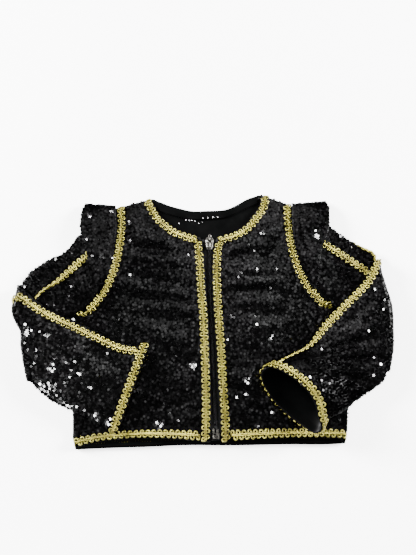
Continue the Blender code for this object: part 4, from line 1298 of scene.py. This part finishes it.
def edge_strip(grid, last_row):
    """A path a fixed distance in from the grid's first column."""
    normals = normals_of(grid)
    raised = grid + normals * BRAID_BASE
    path, facing = [], []
    for row in np.linspace(0, last_row, int(last_row) + 1).astype(int):
        line = raised[row]
        far = np.concatenate([[0.0], np.cumsum(np.linalg.norm(np.diff(line, axis=0), axis=1))])
        path.append([np.interp(BRAID_WIDTH / 2 + EDGE_GAP, far, line[:, k]) for k in range(3)])
        facing.append(normals[row, 2])
    return np.array(path), np.array(facing), BRAID_WIDTH / 2


def sew(piece, side, path, facing, half, closed=False):
    """Gimp with the names of a piece and a side."""
    return gimp(f"gimp_{piece}_{side}", f"{NODE_OF[piece]}_{side}", path, facing, half, closed)


last_row, last_column = (size - 1 for size in fronts["left"].shape[:2])
edge_column, hem_row = last_column - FINE, last_row - FINE
for side, grid in fronts.items():
    pieces = {
        "neck": strip(grid, 0, (CORNER_ROW - 0.1) * FINE, edge_column, last_column),
        "front_edge": strip(grid, (CORNER_ROW + 0.1) * FINE, last_row, edge_column, last_column),
        "armhole": edge_strip(grid, ARMHOLE_BRAID_END[side] * FINE),
        "hem": strip(grid.swapaxes(0, 1), 0, edge_column - 0.3, hem_row, last_row),
    }
    [sew(piece, side, *measures) for piece, measures in pieces.items()]

# %% [markdown]
# A sleeve's braid runs along its seams. Its angle on each ring is read from the photograph,
# and it narrows where the braid turns on edge or passes under the fold.

# %% Braid on the back hem and the sleeves
FRONT_RINGS, BACK_RINGS = slice(2, 10), slice(5, -2)
FRONT_BRAID_DEGREES = {"left": (118, 115, 114, 113, 112, 112, 114, 116), "right": (123,) * 8}
FRONT_BRAID_HALF = {"left": (5.3, 5.3, 5.2, 4.9, 4.2, 2.6, 1.8, 1.5), "right": (5.2,) * 8}
BACK_BRAID_DEGREES = {
    "left": (208, 208, 208, 210, 213, 216, 218, 221, 223, 223, 222, 220, 217, 214),
    "right": (206, 201, 183, 169, 164, 162, 162, 164, 168, 177, 189, 199),
}
BACK_BRAID_END = {"left": 213.0, "right": 206.0}
NarrowStretch = namedtuple("NarrowStretch", "first halves")
BACK_BRAID_NARROW = {
    "left": rows_of(NarrowStretch, (5, (3.6, 3.0, 3.2, 4.4))),
    "right": rows_of(
        NarrowStretch,
        (1, (4.6, 2.6, 2.1, 2.0, 1.9, 1.8, 1.8, 2.1, 3.0, 4.2, 5.0)),
        (-6, (4.6, 3.2, 2.0, 1.5, 1.4, 1.4)),
    ),
}
CUFF_PEEK = {"left": 0.0, "right": 1.6}
HEM_Z, HEM_HALF = 0.75, 5.2
HEM_DIP, DIP_X, DIP_REACH = 2.6, -146.0, 14.0
hem_path = (back[-1] + back[-1 - BACK_FINE]) / 2
hem_path[:, 1] -= HEM_DIP * np.exp(-(((hem_path[:, 0] - DIP_X) / DIP_REACH) ** 2))
hem_path[:, 2] = HEM_Z
upward = np.tile([0.0, 0.0, 1.0], (len(hem_path), 1))
hem_braid = gimp("gimp_hem_back", "hem_braid_back", hem_path, upward, HEM_HALF)


def sleeve_strip(rings, degrees, half_width):
    """A path along a sleeve at an angle for each ring, with its normals and half width."""
    base, above = (
        smooth_rows([ring_points(ring, np.radians([a]), out)[0] for ring, a in zip(rings, degrees)], 3)
        for out in (0.4, 1.4)
    )
    half_width = smooth_rows(np.array(half_width)[:, None], 3)[:, 0]
    return pulled(base, SLEEVE_PULLS), unit(above - base), half_width


def cuff_strip(grid, peeks):
    """A closed path half a braid's width in from the cuff. Underneath, it may peek out of it."""
    from_cuff = grid[::-1]
    steps = np.linalg.norm(np.diff(from_cuff, axis=0), axis=2)
    far = np.concatenate([np.zeros((1, grid.shape[1])), np.cumsum(steps, axis=0)])
    facing = normals_of(grid, closed=True)[-3]
    inset = BRAID_WIDTH / 2 + 0.2 - peeks * np.clip(-1.6 * facing[:, 2], 0.0, 1.0)
    path = [
        [np.interp(inset[column], far[:, column], from_cuff[:, column, k]) for k in range(3)]
        for column in range(grid.shape[1])
    ]
    return np.array(path) + facing * 0.4, facing, BRAID_WIDTH / 2


def back_strip(side):
    """The line down the back of a sleeve, which narrows where it passes under the fold."""
    last_rings = rings[side][-2], rings[side][-3]
    near_cuff = last_rings[0] + (last_rings[1] - last_rings[0]) * 0.08
    line = np.array([*rings[side][BACK_RINGS], near_cuff])
    degrees = np.full(len(line), BACK_BRAID_END[side])
    degrees[: len(BACK_BRAID_DEGREES[side])] = BACK_BRAID_DEGREES[side]
    halves = np.full(len(line), BRAID_WIDTH / 2)
    for stretch in BACK_BRAID_NARROW[side]:
        first = stretch.first % len(line)
        halves[first:first + len(stretch.halves)] = stretch.halves
    return sleeve_strip(line, degrees, halves)


for side in SIDES:
    front_line = sleeve_strip(rings[side][FRONT_RINGS], FRONT_BRAID_DEGREES[side], FRONT_BRAID_HALF[side])
    sew("sleeve_front", side, *front_line)
    sew("sleeve_back", side, *back_strip(side))
    sew("cuff", side, *cuff_strip(sleeves[side], CUFF_PEEK[side]), closed=True)

# %% [markdown]
# The zip. Its coil is a nylon thread wound in a flat spiral along each tape's edge, and
# the two spirals mesh in the middle. The tapes are narrow twill strips.

# %% Zip coil and tapes
ZIP_TOP, ZIP_MIDDLE, ZIP_BOTTOM = (8.0, 98.0), (9.0, 20.0), (15.8, -149.0)
TAPE_Z, TAPE_THICK = 2.7, 0.8
TAPE_RISE, RISE_START, RISE_LENGTH = 1.4, -118.0, 20.0
TAPE_COLUMNS = ((0.15, 0.0), (1.2, 0.25), (2.4, 0.1), (5.0, 0.0), (8.0, 0.05), (11.0, 0.0))
COIL_TOP, COIL_END = 94.0, -134.6
COIL_PITCH, COIL_STEPS = 1.35, 8
COIL_AWAY, COIL_RISE = 0.75, 1.7
COIL_WIDE, COIL_HIGH, COIL_THREAD = 1.05, 0.72, 0.3
CURL_START, CURL_LENGTH, CURL_UP, CURL_IN = 84.0, 14.0, 2.6, 1.6


def zip_point(y):
    """The middle of the zip's tapes at a distance along it."""
    upper, lower = (
        top[0] + (end[0] - top[0]) * (top[1] - y) / (top[1] - end[1])
        for top, end in ((ZIP_TOP, ZIP_MIDDLE), (ZIP_MIDDLE, ZIP_BOTTOM))
    )
    share = np.clip((RISE_START - y) / RISE_LENGTH, 0.0, 1.0)
    z = TAPE_Z + TAPE_RISE * share * share * (3 - 2 * share)
    return np.stack([np.where(y > ZIP_MIDDLE[1], upper, lower), y, z], -1)


def coil(side):
    """One spiral of thread. The two are half a turn apart, so that they mesh."""
    turns = np.arange(0.0, (COIL_TOP - COIL_END) / COIL_PITCH, 1 / COIL_STEPS)
    line = zip_point(COIL_TOP - turns * COIL_PITCH - (COIL_PITCH / 2 if side > 0 else 0.0))
    line[:, 0] += side * COIL_AWAY + COIL_WIDE * np.cos(2 * np.pi * turns)
    line[:, 2] += COIL_RISE + COIL_HIGH * np.sin(2 * np.pi * turns)
    up = np.tile([0.001, 0.001, 1.001], (len(line), 1))
    return tube_points(line, up, COIL_THREAD, 4), False, 0, COIL_PITCH / COIL_STEPS


def tape_grid(side):
    """A tape, whose top end curls up and back over itself."""
    y = np.linspace(ZIP_TOP[1], ZIP_BOTTOM[1], 80)
    grid = []
    for across, lift in TAPE_COLUMNS:
        line = zip_point(y)
        curl = np.clip((y - CURL_START) / CURL_LENGTH, 0.0, 1.0) ** 2 * np.clip(across / 6.0, 0.0, 1.0)
        line[:, 0] += side * (across - curl * CURL_IN)
        line[:, 2] += lift + 0.12 * np.sin(y * 0.11 + across) + curl * CURL_UP
        grid.append(line)
    return np.array(grid)


zip_coil = tubes("zip_coil", "zip_teeth", [coil(-1.0), coil(1.0)], [coil_nylon_and_hole_shade])
tape_grids = {"left": tape_grid(-1.0), "right": tape_grid(1.0)}
tapes = {
    side: panel(f"tape_{side}", f"zip_tape_{side}", grid, (tape_cloth, tape_cloth), TAPE_THICK)
    for side, grid in tape_grids.items()
}
print("coil:", len(zip_coil.data.polygons), "faces")

# %% [markdown]
# The metal pieces are small castings with soft edges. Box modelling suits them: a block,
# a few extruded ends, a sunk face and a bevel. These tools do each of those steps.

# %% Tools for metal
MM = 0.001


def block(centre, size):
    """A cube of this size in millimetres, placed in the mesh."""
    bpy.ops.object.select_all(action="DESELECT")
    bpy.ops.mesh.primitive_cube_add(size=1.0, location=tuple(c * MM for c in centre))
    made = bpy.context.active_object
    made.scale = tuple(s * MM for s in size)
    bpy.ops.object.transform_apply(location=True, rotation=False, scale=True)
    return made


def ring_of_metal(centre, radius, wire, segments, scale, rotation=(0.0, 0.0, 0.0)):
    """A torus in millimetres, scaled along its own axes."""
    bpy.ops.object.select_all(action="DESELECT")
    bpy.ops.mesh.primitive_torus_add(
        location=tuple(c * MM for c in centre), rotation=rotation, major_radius=radius * MM,
        minor_radius=wire * MM, major_segments=segments, minor_segments=10,
    )
    made = bpy.context.active_object
    made.scale = scale
    bpy.ops.object.transform_apply(location=True, rotation=True, scale=True)
    bpy.ops.object.shade_smooth()
    return made


def pick_face(made, test):
    """Selects the faces whose middle passes the test, in edit mode."""
    bpy.ops.object.mode_set(mode="OBJECT")
    for kind in (made.data.vertices, made.data.edges, made.data.polygons):
        kind.foreach_set("select", np.zeros(len(kind), bool))
    for face in made.data.polygons:
        face.select = bool(test(face.center / MM))
    bpy.ops.object.mode_set(mode="EDIT")
    bpy.ops.mesh.select_mode(type="FACE")


def extrude_end(centre, move, widen):
    """Extrudes the picked face along Y, in millimetres, and scales its width."""
    bpy.ops.mesh.extrude_region_move(TRANSFORM_OT_translate={"value": (0.0, move * MM, 0.0)})
    bpy.ops.transform.resize(value=(widen, 1.0, 1.0), center_override=tuple(c * MM for c in centre))


def sink(rim, depth):
    """Sinks the picked face inside a rim, and leaves edit mode."""
    bpy.ops.mesh.inset(thickness=rim * MM, depth=0.0)
    bpy.ops.mesh.extrude_region_move(TRANSFORM_OT_translate={"value": (0.0, 0.0, -depth * MM)})
    bpy.ops.object.mode_set(mode="OBJECT")


def rounded(made, width):
    """A bevel on every sharp edge, applied, with smooth shading by angle."""
    only(made)
    bevel = made.modifiers.new("bevel", "BEVEL")
    bevel.width = width * MM
    bevel.segments = 3
    bevel.limit_method = "ANGLE"
    bpy.ops.object.modifier_apply(modifier="bevel")
    bpy.ops.object.shade_smooth_by_angle(angle=math.radians(50))
    return made


def joined(parts, name, node, body):
    """One piece of nickel from several parts, which takes the place of its solid."""
    only(*parts)
    bpy.ops.object.join()
    made = parts[0]
    made.name = made.data.name = name
    made.data.materials.clear()
    made.data.materials.append(nickel)
    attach(made, body)
    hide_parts(node)
    print(name, len(made.data.polygons), "faces")
    return made


# %% [markdown]
# The slider is extruded end by end: first the shoulders, then the neck and the pointed
# nose. The strap that holds the pull is a ring, half of it sunk in the plate.

# %% The zip's slider
SLIDER_X, SLIDER_Y = 8.53, 94.67
PLATE_Z, PLATE_THICK = 6.45, 1.4
PLATE_WIDE, SHOULDER_WIDE, PLATE_LONG, PLATE_BACK = 7.8, 9.8, 9.4, 2.3
NOSE_STEPS = ((4.0, 0.78), (0.6, 0.4), (2.0, 1.35), (2.2, 0.25))
HOLE_RIM, HOLE_DEPTH, HOLE_HALF = 1.5, 0.8, 2.6
RAIL_AWAY, RAIL_BACK, RAIL_Z, RAIL_SIZE = 3.25, 0.7, 5.0, (1.2, 11.4, 3.0)
STRAP_Z, STRAP_RADIUS, STRAP_WIRE, STRAP_SCALE = 8.3, 1.85, 0.55, (1.0, 1.0, 1.6)
PLATE_ROUND, RAIL_ROUND = 0.38, 0.35
PIVOT = (8.53, 98.87, 8.45)
plate_centre = (SLIDER_X, SLIDER_Y, PLATE_Z)
plate = block((SLIDER_X, SLIDER_Y - PLATE_BACK, PLATE_Z), (PLATE_WIDE, PLATE_LONG, PLATE_THICK))
pick_face(plate, lambda middle: middle.y > SLIDER_Y + PLATE_BACK)
shoulder_centre = (SLIDER_X * MM, 0.0, PLATE_Z * MM)
bpy.ops.transform.resize(value=(SHOULDER_WIDE / PLATE_WIDE, 1.0, 1.0), center_override=shoulder_centre)
for move, widen in NOSE_STEPS:
    extrude_end(plate_centre, move, widen)
pick_face(plate, lambda middle: middle.z > PLATE_Z + 0.5 and middle.y < SLIDER_Y + 2.0)
sink(HOLE_RIM, HOLE_DEPTH)
rounded(plate, PLATE_ROUND)
rails = [
    rounded(block((SLIDER_X + away, SLIDER_Y - RAIL_BACK, RAIL_Z), RAIL_SIZE), RAIL_ROUND)
    for away in (-RAIL_AWAY, RAIL_AWAY)
]
strap_centre, upright = (PIVOT[0], PIVOT[1], STRAP_Z), (0.0, math.pi / 2, 0.0)
strap = ring_of_metal(strap_centre, STRAP_RADIUS, STRAP_WIRE, 28, STRAP_SCALE, upright)
slider = joined([plate, *rails, strap], "slider", "zip_slider", "jacket")
# Painted shade: the floor of the hole sunk under the strap takes the dark nylon finish, so the hole looks
# deep.
slider.data.materials.append(coil_nylon_and_hole_shade)
for face in slider.data.polygons:
    middle = face.center / MM
    in_painted_hole_shade = abs(middle.z - PLATE_Z) < 0.3 and abs(middle.x - SLIDER_X) < HOLE_HALF
    face.material_index = 1 if in_painted_hole_shade and face.normal.z > 0.5 else 0

# %% [markdown]
# The pull hangs over the slider and turns about the strap. It is a ring over a plate that
# narrows to its tip. The plate's face is sunk inside a raised edge, with a rib down it.

# %% The zip's pull
TAB_AWAY, TAB_SIZE, TAB_ROUND = 8.15, (8.6, 4.5, 1.1), 0.28
TAB_NECK, TAB_TIP = (1.5, 0.86), (-3.4, 0.76)
TAB_RIM, TAB_DEPTH = 1.0, 0.45
RIB_PLACE, RIB_SIZE, RIB_ROUND = (0.7, -8.2, 0.28), (1.0, 7.0, 0.7), 0.3
EYE_AWAY, EYE_RADIUS, EYE_WIRE, EYE_SCALE = 3.1, 3.15, 0.68, (1.0, 1.0, 0.85)
pull_x, pull_y, pull_z = PIVOT
pull_plate = block((pull_x, pull_y - TAB_AWAY, pull_z), TAB_SIZE)
pick_face(pull_plate, lambda middle: middle.y > pull_y - TAB_AWAY + 2.0)
extrude_end(PIVOT, *TAB_NECK)
pick_face(pull_plate, lambda middle: middle.y < pull_y - TAB_AWAY - 2.0)
extrude_end(PIVOT, *TAB_TIP)
pick_face(pull_plate, lambda middle: middle.z > pull_z + 0.4)
sink(TAB_RIM, TAB_DEPTH)
rounded(pull_plate, TAB_ROUND)
rib = rounded(block(tuple(a + b for a, b in zip(PIVOT, RIB_PLACE)), RIB_SIZE), RIB_ROUND)
eye = ring_of_metal((pull_x, pull_y - EYE_AWAY, pull_z), EYE_RADIUS, EYE_WIRE, 40, EYE_SCALE)
joined([pull_plate, rib, eye], "pull", "zip_pull", "pull")

# %% [markdown]
# At the foot of the zip a small metal box holds the ends of both tapes. Two pins stand up
# from it, one on each tape.

# %% The zip's box
BOX_X, BOX_Y, BOX_Z = 16.13, -142.9, 6.05
BOX_SIZE, BOX_RIM, BOX_DEPTH, BOX_ROUND = (8.2, 7.0, 2.3), 0.9, 0.5, 0.4
PIN_FOOT, PIN_Z, PIN_WIDE, PIN_HIGH, PIN_ROUND = -140.0, 5.95, 2.1, 1.9, 0.5
Pin = namedtuple("Pin", "x length")
PINS = rows_of(Pin, (BOX_X - 3.0, 5.6), (BOX_X + 1.6, 4.8))
base = block((BOX_X, BOX_Y, BOX_Z), BOX_SIZE)
pick_face(base, lambda middle: middle.z > BOX_Z + 1.0)
sink(BOX_RIM, BOX_DEPTH)
rounded(base, BOX_ROUND)
pins = [
    rounded(block((pin.x, PIN_FOOT + pin.length / 2, PIN_Z), (PIN_WIDE, pin.length, PIN_HIGH)), PIN_ROUND)
    for pin in PINS
]
joined([base, *pins], "box", "zip_box", "jacket")

# %% [markdown]
# Inside the neck the photograph shows two short lines of tiny sparkles. They are laid one
# by one, as very small discs.

# %% Sparkles inside the neck
NECK_SPARKS = (
    (186, 220.3), (189, 220.4), (192, 221.0), (195, 221.4), (198.7, 223.2), (202, 222.0), (179, 223.4),
    (203.3, 218.4), (208, 218.3), (213, 217.4), (217.5, 217.4), (220, 217.8),
)
SPARK_RADIUS, SPARK_LIFT = 0.62, 0.1
FACING_END, ON_FACING, ON_BACK = 221.5, 3.7, 2.0
spots = np.array([
    [*table_mm(px, py, 0.0022), ON_FACING if py < FACING_END else ON_BACK] for px, py in NECK_SPARKS
])
sparks = sequins("sequins_neck", spots, to_the_lamp(spots), SPARK_RADIUS, SPARK_LIFT, bright=True)
print("sparks:", len(spots))

# %% [markdown]
# Every piece of cloth is cut flat first. Its flat size comes from the surface it became:
# the longest line across it, the longest line down it, and its area. A sleeve's width is
# the whole way round the tube.

# %% The cut of each sheet
def cut_of(grid, closed=False):
    """The flat width and length in metres and the area of a surface in square metres."""
    points = metres(grid)
    ring = np.concatenate([points, points[:, :1]], axis=1) if closed else points
    width = np.linalg.norm(np.diff(ring, axis=1), axis=2).sum(axis=1).max()
    lengths = np.linalg.norm(np.diff(points, axis=0), axis=2).sum(axis=0)
    rows, columns = points.shape[:2]
    quads = grid_faces(rows, columns, 0, closed)
    a, b, c, d = (points.reshape(-1, 3)[quads[:, k]] for k in range(4))
    area = np.linalg.norm(np.cross(c - a, d - b), axis=1).sum() / 2
    length = max(lengths.max(), area / width)
    return (round(float(width), 3), round(float(length), 3)), round(float(area), 4)


def lay(made, grid, closed=False):
    """Prints the flat cut of one sheet of cloth and its area, capped at the cut's size."""
    flat, area = cut_of(grid, closed)
    area = min(area, flat[0] * flat[1])
    print(made.name, "flat", flat, "m, area", area, "m2")


lay(cloth_back, back)
lay(cloth_facing, facing)
for side in SIDES:
    part = f"front_{side}"
    lay(cloths[part], fronts[side])
for side in SIDES:
    part, below = f"sleeve_{side}", [cloths[f"front_{side}"], "table"]
    lay(cloths[part], sleeves[side], closed=True)
for side in SIDES:
    part = f"wing_{side}"
    lay(cloths[part], wings[side])
for side in SIDES:
    lay(tapes[side], tape_grids[side])

# %% [markdown]
# The table is a large pale sheet, a little uneven so that it isn't a flat colour. It is
# lit from below as well, as tables for catalogue photographs are, so it comes out white.

# %% Table
bpy.ops.object.select_all(action="DESELECT")
bpy.ops.mesh.primitive_plane_add(size=12.0, location=(0.0, 0.0, -0.0004))
table = bpy.context.active_object
table.name = "table"
table_paint, tree, shader, place = finish("table_paint", (0.85, 0.85, 0.84), 0.6)
tone = use_group(tree, uneven, place, Patches_per_metre=3.0, Low=0.0, High=1.0)
tint(tree, shader, tone, (0.92, 0.92, 0.92), (0.95, 0.95, 0.95))
shader.inputs["Emission Color"].default_value = (1.0, 1.0, 1.0, 1.0)
shader.inputs["Emission Strength"].default_value = 3.0
table.data.materials.append(table_paint)

# %% [markdown]
# Two low lamps at the sides reach few discs, so the cloth stays dark and its folds show. A
# dim panel above lifts the gold, and a small lamp in front makes the chosen discs flash.

# %% Lights
def lamp(name, place, size, power):
    """A round white lamp that faces the middle of the table."""
    light = bpy.data.lights.new(name, "AREA")
    light.shape = "DISK"
    light.size = size
    light.energy = power
    made = bpy.data.objects.new(name, light)
    made.location = place
    made.rotation_euler = (-Vector(place)).to_track_quat("-Z", "Y").to_euler()
    bpy.context.scene.collection.objects.link(made)


lamp("soft_key", (-2.3, 1.0, 0.85), 1.0, 760.0)
lamp("soft_fill", (2.3, 0.8, 0.85), 1.0, 600.0)
lamp("dim_panel", (0.1, 0.9, 1.85), 1.25, 4.6)
lamp("glint_lamp", tuple(GLINT_LAMP), 0.22, 30.0)
world = bpy.data.worlds.new("studio")
bpy.context.scene.world = world
world.use_nodes = True
sky = world.node_tree.nodes["Background"]
sky.inputs["Color"].default_value = (1.0, 1.0, 1.0, 1.0)
sky.inputs["Strength"].default_value = 0.09
